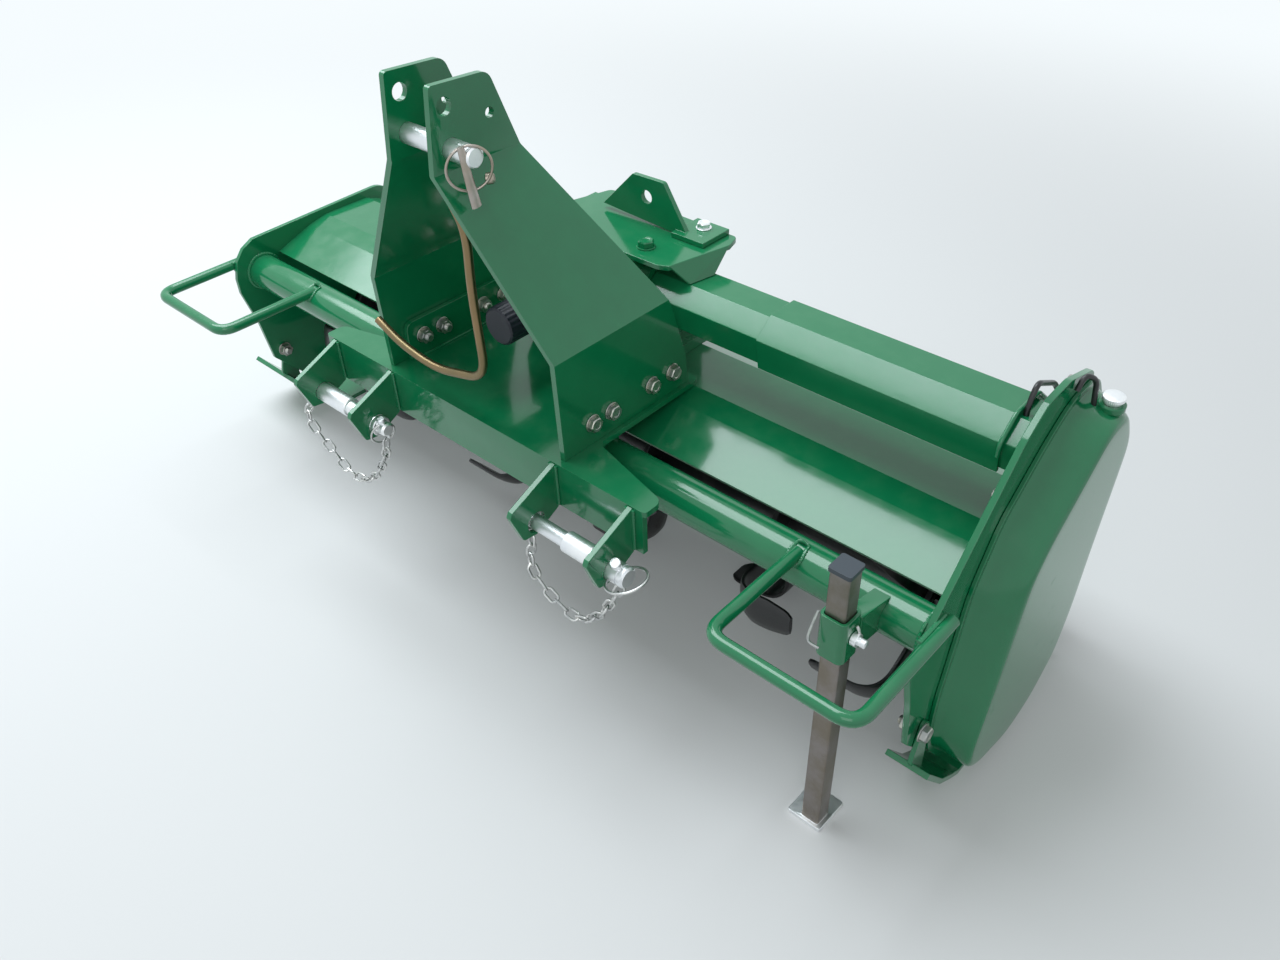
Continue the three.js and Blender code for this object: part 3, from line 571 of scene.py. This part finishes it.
sheet_nodes = ["side_plate_left", "side_plate_right", "hitch_beam", "mast_plate_left",
               "mast_plate_right", "mast_foot_left", "mast_foot_right", "gearbox_lid", "stay_bracket",
               "shaft_housing", "shaft_cover", "skid_left", "skid_right", "stand_sleeve",
               "yoke_left_outer", "yoke_left_inner", "yoke_right_outer", "yoke_right_inner"]
for node in sheet_nodes:
    softened(node, GREEN)
softened("hood", GREEN, edge=0.6, angle=6)  # its folds are shallow, and each shows as a crisp line
softened("rear_flap", GREEN, edge=0.6, angle=9)
softened("gearbox", CAST_GREEN, edge=3.0, rings=3)
leg = softened("stand_leg", LEG_ZINC, edge=0.7)
leg.data.materials.append(ZINC)
FOOT_TOP = 0.0062  # metres; the foot plate under the leg has the plain plating
height = np.array([face.center.z for face in leg.data.polygons])
leg.data.polygons.foreach_set("material_index", (height < FOOT_TOP).astype(np.int32))
softened("stand_cap", GREY_PLASTIC, edge=1.6)
softened("pto_shaft", STEEL, edge=0.6)
print("softened:", len(sheet_nodes) + 6, "nodes")

# %% [markdown]
# ## Round bars and tubes
# The front tube carries the whole machine, and its long unbroken highlight shows at once whether it is
# round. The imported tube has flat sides, so a profile turned about the axis with many sides stands for
# it. The guards and the hook are bars bent cold in a press; their corners are curves of the second
# degree, and a round section is carried along them. A Bezier curve with a bevel would do this too, but
# a worked-out surface keeps its faces even.

# %% Front tube
TUBE_Y, TUBE_Z, TUBE_R = -198.0, 312.0, 28.5
reach = INNER - 0.3
rows = [(x, TUBE_R) for x in np.linspace(-reach, reach, 41)]
piece("front_tube_round", [turned(rows, (0, TUBE_Y, TUBE_Z), (1, 0, 0), 72)], GREEN,
      stands_for=["front_tube"])

# %% Guards
GUARD_X, GUARD_FRONT, GUARD_Z, GUARD_BAR = 480, -375, 335, 8.5
for side, sign in (("left", 1), ("right", -1)):
    near, far = sign * GUARD_X, sign * (OUTER + GUARD_BAR + 0.3)
    line = bent([(near, -208, GUARD_Z), (near, GUARD_FRONT, GUARD_Z), (far, GUARD_FRONT, GUARD_Z),
                 (far, -190, GUARD_Z)], 24)
    piece(f"guard_bar_{side}", [swept(evenly(line, 5), GUARD_BAR, sides=24)], GREEN,
          stands_for=[f"guard_loop_{side}"])

# %% Hook for the drive shaft
HOOK_Y = -316.0
hook = bent([(66, HOOK_Y, 684), (86, HOOK_Y, 653.6), (80.5, HOOK_Y, 581.6), (85.6, HOOK_Y, 459),
             (-15.5, HOOK_Y, 432.5), (-84, HOOK_Y, 442.7), (-128, HOOK_Y, 463)], 34)
piece("hook_bar", [swept(evenly(hook, 4), 5.5, up=(0, 1, 0), sides=20)], BRONZE,
      stands_for=["drive_shaft_hook"])

# %% [markdown]
# ## Bolts, nuts and washers
# A hexagon is a circle whose radius grows by 1 / cos of the angle from the nearest flat. Letting each
# row of a turned profile say how much of that growth it takes gives a head with flats below and a
# chamfer above, in one shell. Threads are small ripples of the radius.

# %% Fasteners
def hexagonal(profile, place, way, sides=48):
    """Rows (along, radius, six): radius * (1 + six * (1 / cos(angle to the nearest flat) - 1))."""
    rows = np.asarray(profile, float)
    corner = 1 / np.cos(np.mod(angles(sides), pi / 3) - pi / 6) - 1
    return turned(rows[:, :2], place, way, sides, 1 + rows[:, 2:] * corner)


def washer(place, way, radius, thick=1.8, inner=0.45):
    return turned([(0, radius - 0.4), (0.4, radius), (thick - 0.4, radius), (thick, radius - 0.4),
                   (thick, radius * inner)], place, way, 32)


def bolt(place, way, flats=17.0):
    """A washer, then a head flats mm across, chamfered above, with a shallow dish in its top."""
    half, tall = flats / 2, flats * 0.42
    head = [(1.8, half * 0.96, 1), (2.2, half, 1), (1.8 + tall * 0.82, half, 1),
            (1.8 + tall, half * 0.94, 0.1), (1.8 + tall, half * 0.62, 0), (1.2 + tall, half * 0.5, 0)]
    return [washer(place, way, half * 1.32), hexagonal(head, place, way)]


def nut(place, way, flats=17.0, beyond=6.0):
    """A washer, a nut chamfered on its outer side, and a threaded end that stands beyond it."""
    half, tall = flats / 2, flats * 0.48
    body = [(1.8, half * 0.97, 0.6), (2.4, half, 1), (1.2 + tall, half, 1), (1.8 + tall, half * 0.93, 0)]
    end = 1.8 + tall + beyond
    along = np.arange(1.8 + tall - 1, end - 0.8, 0.4)
    thread = flats * 0.31 + 0.28 * np.sin(along / 1.5 * tau)
    screw = [*zip(along, thread), (end, flats * 0.24)]
    return [washer(place, way, half * 1.3), hexagonal(body, place, way),
            turned(screw, place, way, 20)]


def bolted(place, way, thick, flats=17.0, beyond=6.0):
    """A bolt at place whose head faces along way, and its nut on the far side of thick mm of plate."""
    way = np.asarray(way, float)
    return bolt(place, way, flats) + nut(np.asarray(place, float) - way * thick, -way, flats, beyond)


print("a bolt, its nut and two washers are", len(bolted((0, 0, 0), (1, 0, 0), 10)), "shells")

# %% [markdown]
# ## Where the bolts are
# Four bolts hold each mast plate to its foot, four the gearbox and two each skid. The bolt in the lid is
# painted over with the lid, and those at the bracket are put in later and stay bright.

# %% Bolts of the mast, lid, bracket, skids and gearbox
MAST_X = 172  # from the headstock's middle to the outer face of a mast plate
mast = []
for side in (1, -1):
    for y in (-247, -213, -138, -98):
        mast += bolted((HITCH_X + side * MAST_X, y, 406), (side, 0, 0), 16.6, 18)
piece("mast_bolts", mast, BOLT_ZINC, smooth=22)

lid = bolt((111, -51, 540), (0, 0, 1), 19)
piece("lid_bolt", lid, GREEN, smooth=22)
silver = bolt((144, 26, 547.3), (0, 0, 1), 16) + bolt((60, 24, 540), (0, 0, 1), 13)
piece("bracket_bolts", silver, ZINC, smooth=22)

skids = []
for side in (1, -1):
    for y, z, flats in ((-200, 155, 19), (152, 128, 15)):
        skids += bolted((side * (OUTER + 6.3), y, z), (side, 0, 0), 14.3, flats, 5)
piece("skid_bolts", skids, BOLT_ZINC, smooth=22)

base = []
for x in (-106, 106):
    for y in (-92, 52):
        base += bolt((HITCH_X + x, y, 383), (0, 0, 1), 17)
piece("gearbox_base_bolts", base, BOLT_ZINC, smooth=22)

# %% [markdown]
# ## Pins
# The lower pins step from a thick outer half to a thin inner half, so that links of two sizes fit. They
# are turned from bar and zinc plated: chamfers catch the light at every step. A small pin with a spring
# ring goes through the end of each, and a chain keeps it from being lost.

# %% Lower pins and the top pin
PIN_Y, PIN_Z = -346.0, 306.0  # axis of both lower pins


def stepped(rows, y, z, sides=56):
    """A turned bar along X from rows of (x, radius)."""
    return turned(rows, (0, y, z), (1, 0, 0), sides)


def lower_pin(side, sign):
    """Outer end, thick half, step, thin half, collar and inner end, mirrored by sign about its middle."""
    middle = HITCH_X + sign * LINK_X
    rows = [(-90.8, 7.5), (-88, 10), (-76.2, 10), (-76, 13.6), (-75.2, 14.5), (-69, 14.5), (-68.3, 13.6),
            (-68.2, 10), (-8, 10), (-6, 10.6), (-6, 12.6), (-4.6, 14), (84, 14), (84.3, 12.8), (87, 12.8),
            (87.3, 14), (92, 14), (94.6, 11.4)]
    bar = stepped([(middle + sign * along, radius) for along, radius in rows], PIN_Y, PIN_Z)
    return piece(f"lower_pin_{side}_turned", [bar], ZINC, smooth=28,
                 stands_for=[f"lower_pin_{side}"])


for side, sign in (("left", 1), ("right", -1)):
    lower_pin(side, sign)
top = [(-33, 15.5), (-31.6, 17), (-20.8, 17), (-19.4, 15.6), (-19.3, 12), (97, 12), (97.2, 11), (99, 11),
       (99.2, 12), (101, 12), (103, 10)]
piece("top_pin_turned", [stepped(top, -303, 737)], ZINC, smooth=28,
      stands_for=["top_link_pin"])
half = drawn("flap_hinge_rod")[1][0]
rows = [(-half, 8.6), (-half + 1.2, 10), (-half + 4.2, 10), (-half + 5, 6), (half - 5, 6), (half - 4.2, 10),
        (half - 1.2, 10), (half, 8.6)]
piece("flap_rod_turned", [stepped(rows, 187, 246, 32)], ZINC, stands_for=["flap_hinge_rod"])

# %% [markdown]
# ## Lynch pins and their rings
# A lynch pin is a short pin with a spring ring that snaps over the end of the bar. The ring is a closed
# wire, and it leans as it happens to hang, so each has a centre and two directions of its own.

# %% Spring rings and the small pins they close on
def ring(centre, across, down, radius, wire):
    """centre + radius * (cos * across + sin * down), a wire closed on itself."""
    across, down = (np.asarray(v, float) / np.linalg.norm(v) for v in (across, down))
    angle = np.linspace(0, tau, 72, endpoint=False)[:, None]
    line = np.asarray(centre, float) + radius * (np.cos(angle) * across + np.sin(angle) * down)
    return swept(line, wire, up=np.cross(across, down), sides=12, ring=True)


def small_pin(head, tip, radius=4.6):
    """A turned pin from head to tip with a collar at its head and a cone at its tip."""
    head, way = np.asarray(head, float), np.subtract(tip, head)
    long = np.linalg.norm(way)
    rows = [(0, radius + 1), (1, radius + 2.4), (6, radius + 2.4), (7, radius), (long - 4, radius),
            (long, radius - 2)]
    return turned(rows, head, way, 28)


lynch = [small_pin((327, PIN_Y - 8, PIN_Z + 24), (327, PIN_Y + 8, PIN_Z - 24)),
         small_pin((-119.5, PIN_Y - 4, PIN_Z + 19), (-119.5, PIN_Y + 4, PIN_Z - 19), 3.4)]
piece("lynch_pins", lynch, ZINC)
rings = [ring((341.3, -350, 306.5), (0.70, 0.66, 0.28), (-0.66, 0.70, -0.2), 26, 1.9),
         ring((-124, -348, 297), (0.35, 0.8, 0.3), (0.1, -0.3, 1), 17, 1.6)]
piece("lynch_rings", rings, LINK_ZINC)
tab = evenly([(97, -317, 752), (99, -314, 722), (100, -308, 684)], 4)
knob = turned([(0, 4), (1.5, 6.5), (8, 6.5), (10, 4)], (97, -289, 708), (0.6, 0.5, 0.1), 24)
tongue = swept(tab, np.linspace(4.4, 6.6, len(tab)), up=(1, 0, 0), sides=20, flat=0.6)
piece("top_lynch_pin", [tongue, knob], YELLOW)
piece("top_lynch_ring", [ring((97, -309, 726), (0.45, 0.88, 0.1), (0, -0.1, 1), 25, 1.6)], YELLOW)

# %% [markdown]
# ## Chains
# A light chain keeps each lower pin from being lost. It hangs from one end of the pin to the other in a
# loose curve. A link is a wire bent to two half circles with straight runs, and every next link is
# turned a quarter round the line. One link could be repeated by an Array modifier along a curve, but
# placing each by its running length keeps them from stretching.

# %% Chains of stadium-shaped links
def link(centre, way, flat, long=25.0, wide=15.0, wire=1.7):
    """centre + (bend * cos + run * sign(cos) * min(1, 8 * abs(cos))) * way + bend * sin * flat."""
    angle = angles(22)
    bend, run = wide / 2 - wire, (long - wide) / 2
    u = bend * np.cos(angle) + run * np.sign(np.cos(angle)) * np.minimum(1, np.abs(np.cos(angle)) * 8)
    v = bend * np.sin(angle)
    line = centre + u[:, None] * way + v[:, None] * flat
    return swept(line, wire, up=np.cross(way, flat), sides=8, ring=True)


def chain(points, long=25.0, wire=1.7):
    """Links along a smooth line, a cubic through points, each turned a quarter from the last."""
    points = np.asarray(points, float)
    t = np.linspace(0, len(points) - 1, 240)
    k = np.clip(t.astype(int), 0, len(points) - 2)
    s = (t - k)[:, None]
    padded = np.vstack([2 * points[0] - points[1], points, 2 * points[-1] - points[-2]])
    p0, p1, p2, p3 = (padded[k + j] for j in range(4))
    smooth = 0.5 * (2 * p1 + (p2 - p0) * s + (2 * p0 - 5 * p1 + 4 * p2 - p3) * s**2
                    + (3 * p1 - p0 - 3 * p2 + p3) * s**3)
    length = np.concatenate([[0], np.cumsum(np.linalg.norm(np.diff(smooth, axis=0), axis=1))])
    pitch = long - 3.6 * wire
    count = int(length[-1] / pitch)
    centres = (np.arange(count) + 0.5) * length[-1] / count
    at = [np.stack([np.interp(c, length, smooth[:, j]) for j in range(3)], -1)
          for c in (centres, centres - 6, centres + 6)]
    way = at[2] - at[1]
    way /= np.linalg.norm(way, axis=1, keepdims=True)
    flat = np.cross(way, (0, 1, 0.25))
    flat /= np.linalg.norm(flat, axis=1, keepdims=True)
    other = np.cross(way, flat)
    tilt = [0.25, 0.25 + pi / 2]  # radians round the line, for every other link
    return [link(at[0][n], way[n], cos(tilt[n % 2]) * flat[n] + sin(tilt[n % 2]) * other[n], long, wire=wire)
            for n in range(count)]


near = chain([(182, -352, 287), (174, -352, 233), (189, -351, 206), (218, -350, 188), (253, -350, 185),
              (291, -350, 216), (318, -349, 262), (330, -348, 288)])
far = chain([(-300, -352, 283), (-318, -352, 235), (-298, -351, 210), (-261, -350, 185), (-247, -350, 175),
             (-205, -350, 174), (-163, -350, 204), (-126, -349, 260), (-119, -348, 290)])
piece("pin_chains", near + far, LINK_ZINC)

# %% [markdown]
# ## The chain case
# Two steel pressings closed to an oil-tight box. The outer one rises from its flange in drafted walls
# and turns into the flat face over a broad shoulder. A bevel can't follow two outlines that differ, so
# both are given as corners. The same rays from a point inside meet both, and the rows between them are
# blended one by one.

# %% Outlines met by rays
def closed(corners, bend, steps=8):
    """The closed line through corners with every corner rounded as in bent()."""
    corners = np.asarray(corners, float)
    before, after = np.roll(corners, 1, 0), np.roll(corners, -1, 0)
    t = np.linspace(0, 1, steps)[None, :, None]
    ways = [before - corners, after - corners]
    shares = [np.minimum(bend / np.linalg.norm(way, axis=1), 0.45)[:, None] for way in ways]
    a, b = ((corners + way * share)[:, None] for way, share in zip(ways, shares))
    c = corners[:, None]
    return ((1 - t) ** 2 * a + 2 * t * (1 - t) * c + t**2 * b).reshape(-1, 2)


def rays(line, centre, count):
    """Distance from centre to the closed line for evenly spread angles."""
    away = line - centre
    angle, far = np.mod(np.arctan2(away[:, 1], away[:, 0]), tau), np.hypot(*away.T)
    order = np.argsort(angle)
    fine_angle = np.concatenate([angle[order] - tau, angle[order], angle[order] + tau])
    return np.interp(angles(count), fine_angle, np.tile(far[order], 3))


def dense(line, step=1.5):
    """The closed line with points about step mm apart."""
    around = np.vstack([line, line[:1]])
    length = np.concatenate([[0], np.cumsum(np.hypot(*np.diff(around, axis=0).T))])
    want = np.arange(0, length[-1], step)
    return np.stack([np.interp(want, length, around[:, k]) for k in range(2)], -1)


# %% From the flange to the face
CASE_FOOT = [(-128, 34), (-60, 14), (30, 34), (92, 96), (126, 180), (140, 432), (92, 503), (24, 503),
             (-24, 474), (-101, 412), (-143, 336), (-160, 242), (-173, 175), (-172, 92)]
CASE_FACE = [(-120, 46), (-34, 27), (22, 44), (72, 92), (90, 165), (106, 352), (112, 428), (78, 480),
             (30, 480), (-20, 437), (-74, 392), (-103, 352), (-130, 202), (-150, 108), (-148, 70)]
CASE_MIDDLE = np.array([-12.0, 262.0])
COUNT = 360  # rays round the case
FILLER = (OUTER + 33, 65)  # x and y of the boss and its cap
spread = np.stack([np.cos(angles(COUNT)), np.sin(angles(COUNT))], -1)
foot = rays(dense(closed(CASE_FOOT, 22)), CASE_MIDDLE, COUNT)
face = rays(dense(closed(CASE_FACE, 22)), CASE_MIDDLE, COUNT)
start, depth, flange = OUTER + 0.3, 52.0, 5.0
wall = foot - 9.5  # where the drafted wall leaves the flange
slope = face - wall
layers = [(0, foot - 1), (0.6, foot), (4.4, foot), (flange, foot - 0.8), (flange, foot - 8), (7, wall)]
for s in np.linspace(0.1, 0.86, 8):
    layers.append((flange + s * (depth - flange), wall + slope * s))
for turn in np.linspace(0.25, 1, 7) * pi / 2:
    rise = 0.86 + 0.14 * sin(turn)
    layers.append((flange + rise * (depth - flange), wall + slope * 0.93 - 11 * (1 - cos(turn))))
layers += [(depth, (face - 14) * s) for s in (0.94, 0.7, 0.4, 0.1)]
grid = np.stack([np.concatenate([np.full((COUNT, 1), start + x), CASE_MIDDLE + r[:, None] * spread], 1)
                 for x, r in layers])
case = shell(grid)
boss = turned([(0, 14), (52, 14), (54, 15.4), (60, 15.4), (61, 14.4)], (*FILLER, 431), (0, 0, 1), 40)
piece("chain_case_pressed", [case, boss], GREEN, smooth=24, stands_for=["chain_case"])

# %% [markdown]
# ## Filler cap
# A small plated cap with a knurled rim screws onto the boss. The knurl is a ripple of the radius, and
# only on the rows that lie away from the axis, so that the cap's top stays smooth.

# %% Cap with a knurled rim
rows = [(0.3, 10), (4, 10), (4, 11.8), (4.6, 12.6), (8.4, 12.6), (9.6, 11.6), (10.6, 8.5), (11, 4)]
rim = np.array([[radius > 9] for _, radius in rows])
cap = turned(rows, (*FILLER, 492), (0, 0, 1), 144, 1 + 0.02 * np.cos(36 * angles(144)) * rim)
piece("filler_cap_knurled", [cap], ZINC, stands_for=["filler_cap"])

# %% [markdown]
# ## Small things at the top of the side plate
# Two loops of thin black rod stand at the top, one on each side of the plate, and the outer cover of the
# shaft housing ends in a rolled edge. All three are lines with a round section, like the guards.

# %% Rod loops, rolled edge and two bolts
inner_loop = bent([(640, -44, 508), (640, -42, 526), (640, -32, 545), (640, 18, 520), (640, 31, 506)], 9)
outer_loop = bent([(662, 28, 514), (664, 36, 531), (673, 50, 522), (676, 52, 488)], 9)
loops = [swept(evenly(line, 2), 3.2, (1, 0, 0), 14) for line in (inner_loop, outer_loop)]
piece("rod_loops", loops, BLACK)
end = bent([(634, -83, 476), (634, -83, 493), (634, -55, 517.5), (634, -5, 517.5), (634, 22, 495)], 6)
piece("cover_end", [swept(evenly(end, 2), 2.6, (1, 0, 0), 14)], GREEN)
plate_bolts = bolt((649.7, 47, 512), (-1, 0, 0), 10) + bolt((649.7, -96, 440), (-1, 0, 0), 10)
piece("plate_bolts", plate_bolts, BOLT_ZINC, smooth=22)

# %% [markdown]
# ## Rotor, flanges and blades
# Each flange carries four blades of forged spring steel. A blade starts flat against its flange, grows a
# little wider outwards and turns sideways at its tip, where it follows the circle that it cuts. In
# cylinder coordinates that is simple: a line of radius and sideways reach with one round corner, and a
# width that is an angle about the axis.

# %% One blade
REACH, FLANGE_T, BLADE_T, FOOT = 165.0, 8.0, 7.0, 100.0


def blade(x, turn, sign):
    """Radius and side follow a rounded corner; angle = turn + sweep + v * width / (2 * radius)."""
    corner = bent([(46, 0, 0), (REACH - 4.2, 0, 0), (REACH - 4.2, FOOT - 3, 0)], 44, 14)
    line = evenly(corner, 6)
    radius, side = line[:, 0], line[:, 1]
    s = np.linspace(0, 1, len(line))
    width = np.interp(s, [0, 0.05, 0.4, 0.58, 0.8, 0.96, 1], [36, 46, 54, 66, 62, 46, 30])
    sweep = -0.04 - 0.22 * np.clip(s - 0.25, 0, 1) ** 1.2
    around = angles(28)
    v = np.sign(np.cos(around)) * np.abs(np.cos(around)) ** 0.55
    thick = np.sign(np.sin(around)) * np.abs(np.sin(around)) ** 0.45 * BLADE_T / 2
    thick = thick * np.interp(v, [-1, 0.45, 1], [1, 1, 0.25])
    slope = np.gradient(line[:, :2], axis=0)
    slope /= np.linalg.norm(slope, axis=1, keepdims=True)
    r = radius[:, None] - slope[:, 1:] * thick[None]
    a = side[:, None] + slope[:, :1] * thick[None]
    phi = radians(turn) + sweep[:, None] + v[None] * width[:, None] / 2 / radius[:, None]
    near = FLANGE_T / 2 + BLADE_T / 2
    points = np.stack([x + sign * (near + a), ROTOR[0] + r * np.cos(phi), ROTOR[1] + r * np.sin(phi)], -1)
    return shell(points)


def on_rotor(x, radius, angle):
    """The point at a radius and angle about the rotor's axis."""
    return np.array([x, ROTOR[0] + radius * cos(angle), ROTOR[1] + radius * sin(angle)])


def blade_bolts(x, turn, sign):
    """Two bolts side by side through blade and flange, 61 mm from the axis."""
    shells = []
    way = np.array([sign, 0.0, 0.0])
    for offset in (-0.2, 0.17):
        place = on_rotor(x, 61, radians(turn) + offset)
        shells += bolt(place + way * (FLANGE_T / 2 + BLADE_T), way, 15)
        shells += nut(place - way * FLANGE_T / 2, -way, 15, 4)
    return shells


print("one blade has", len(blade(0, 0, 1)[0]), "points")

# %% Six rings of four blades, and the tube
RINGS, BLADES, TWIST = 6, 4, 26  # each ring is turned by TWIST degrees against the one before
tube_end = INNER - 14
for k in range(RINGS):
    x = -tube_end + 52 + k * (2 * tube_end - 104) / (RINGS - 1)
    rows = [(-FLANGE_T / 2, 38), (-FLANGE_T / 2, 77.2), (-FLANGE_T / 2 + 0.8, 78), (FLANGE_T / 2 - 0.8, 78),
            (FLANGE_T / 2, 77.2), (FLANGE_T / 2, 38)]
    shells, bolts = [turned(rows, (x, *ROTOR), (1, 0, 0), 72)], []
    inwards = 1 if k == 0 else -1 if k == RINGS - 1 else 0  # no blade of an end ring faces its side plate
    for n in range(BLADES):
        sign = inwards or (1 if n % 2 else -1)
        turn = 360 / BLADES * n + TWIST * k
        shells.append(blade(x, turn, sign))
        bolts += blade_bolts(x, turn, sign)
    piece(f"blade_ring_{k + 1}_forged", shells, BLACK, "rotor",
          stands_for=[f"blade_ring_{k + 1}"])
    piece(f"blade_bolts_{k + 1}", bolts, BLACK, "rotor", smooth=22)
rows = [(-OUTER - 30, 22.5), (-OUTER - 28.5, 24), (-tube_end, 24), (-tube_end, 35), (-tube_end + 1, 36),
        (tube_end - 1, 36), (tube_end, 35), (tube_end, 24), (OUTER + 14.5, 24), (OUTER + 16, 22.5)]
piece("rotor_tube_turned", [turned(rows, (0, *ROTOR), (1, 0, 0), 64)], BLACK, "rotor",
      stands_for=["rotor_shaft"])

# %% [markdown]
# ## Bearing at the far end
# The end without the chain case runs in a bearing in a cast housing: a flange with four bolts and a
# domed cap, turned in one. Cast iron under paint is rougher than sheet, so it has the second green.

# %% Bearing
bearing_face = -OUTER - 0.3
rows = [(0, 57), (1, 58), (9, 58), (10, 57), (10.5, 47), (13, 44), (30, 44), (34, 41), (36, 36), (36, 30)]
housing = turned(rows, (bearing_face, *ROTOR), (-1, 0, 0), 72)
piece("bearing_cast", [housing], CAST_GREEN, stands_for=["rotor_bearing_right"])
bolts = []
for turn in range(45, 360, 90):
    bolts += bolt(on_rotor(bearing_face - 10, 51.5, radians(turn)), (-1, 0, 0), 11)
piece("bearing_bolts", bolts, BOLT_ZINC, smooth=22)

# %% [markdown]
# ## Drive shaft stub and its cap
# The cap is soft plastic pushed over the splines: a cup with ribs, so that a gloved hand can pull it off.
# The ribs are a ripple of the radius again, this time with squared-off tops and on the outside only.

# %% Cap on the stub
rows = [(0, 8), (0, 23), (2, 25.5), (6, 26.2), (70, 26.2), (78, 27), (86, 27), (86, 20), (20, 20), (20, 8)]
outside = np.array([[radius > 24] for _, radius in rows])
ribs = np.tanh(3 * np.cos(24 * angles(144)))  # a cosine with squared-off tops
cup = turned(rows, (HITCH_X, -238, 472), (0, 1, 0), 144, 1 + 0.012 * ribs * outside)
piece("pto_cap_ribbed", [cup], PLASTIC, "drive_input", stands_for=["pto_cap"])

# %% [markdown]
# ## The parking stand's pin
# A plated pin with a collar locks the leg in its sleeve. Bent wire, like that of a paper clip, goes from
# the pin round the sleeve and keeps the pin in.

# %% Stand pin with its wire clip
STAND = (583.5, -281.0, 337.0)  # where the pin's axis meets the middle of the leg
rows = [(14, 5), (18, 5), (18.2, 8), (25, 8), (25.2, 5), (33.8, 5), (34.6, 3.8)]
piece("stand_pin_turned", [turned(rows, STAND, (1, 0, 0), 32)], ZINC, stands_for=["stand_pin"])
clip = bent([(565, -295, 364), (563, -300, 350), (563, -310, 329), (575, -304, 322)], 8)
wire = bent([(602, -277, 352), (606, -277, 346), (607, -276, 330)], 5)
piece("stand_wire", [swept(evenly(clip, 2), 1.6, sides=10), swept(evenly(wire, 2), 1.8, sides=10)],
      LINK_ZINC)

# %% [markdown]
# ## Weld beads
# Hand-laid beads join the pieces. A bead is a low rounded line whose width pulses with each movement of
# the torch, and its paint is a little duller because it pools between the ripples. A bump in the paint
# would not change the outline of a joint, so the beads are shells of their own.

# %% Beads
def bead(line, radius=3.0, up=(0, 0, 1), ring=False):
    """A section of radius * (1 + 0.13 * sin(length / 4.6 mm)), lowered to three quarters."""
    line = evenly(line, 1.5) if not ring else np.asarray(line, float)
    pulse = 1 + 0.13 * np.sin(np.arange(len(line)) * 1.5 / 4.6 * tau)
    return swept(line, radius * pulse, up, 10, ring, 0.75)


beads = []
circle = angles(120)
round_tube, round_bar = TUBE_R + 1, GUARD_BAR + 0.7
for side in (1, -1):
    line = [np.full(120, side * (INNER - 1.2)), TUBE_Y + round_tube * np.cos(circle),
            TUBE_Z + round_tube * np.sin(circle)]
    beads.append(bead(np.stack(line, -1), 3.4, (1, 0, 0), True))
    z = GUARD_Z + round_bar * np.sin(circle)
    y = TUBE_Y - np.sqrt(np.clip(TUBE_R**2 - (z - TUBE_Z) ** 2, 0, None)) - 0.8
    line = [side * GUARD_X + round_bar * np.cos(circle), y, z]
    beads.append(bead(np.stack(line, -1), 2.6, (0, 1, 0), True))
    for z in (GUARD_Z - 6.5, GUARD_Z + 6.5):
        beads.append(bead([(side * (OUTER + 1), -246, z), (side * (OUTER + 1), -194, z)], 3))
    for x in (154, 165.5):
        beads.append(bead([(HITCH_X + side * x, -270, 376), (HITCH_X + side * x, -84, 376)], 2.6))
    for gap in (-68.8, -59, 59, 68.8):
        x = HITCH_X + side * LINK_X + gap
        beads.append(bead([(x, -308.5, 312), (x, -308.5, 372)], 2.8, (0, 1, 0)))
piece("weld_beads", beads, BEAD_GREEN)
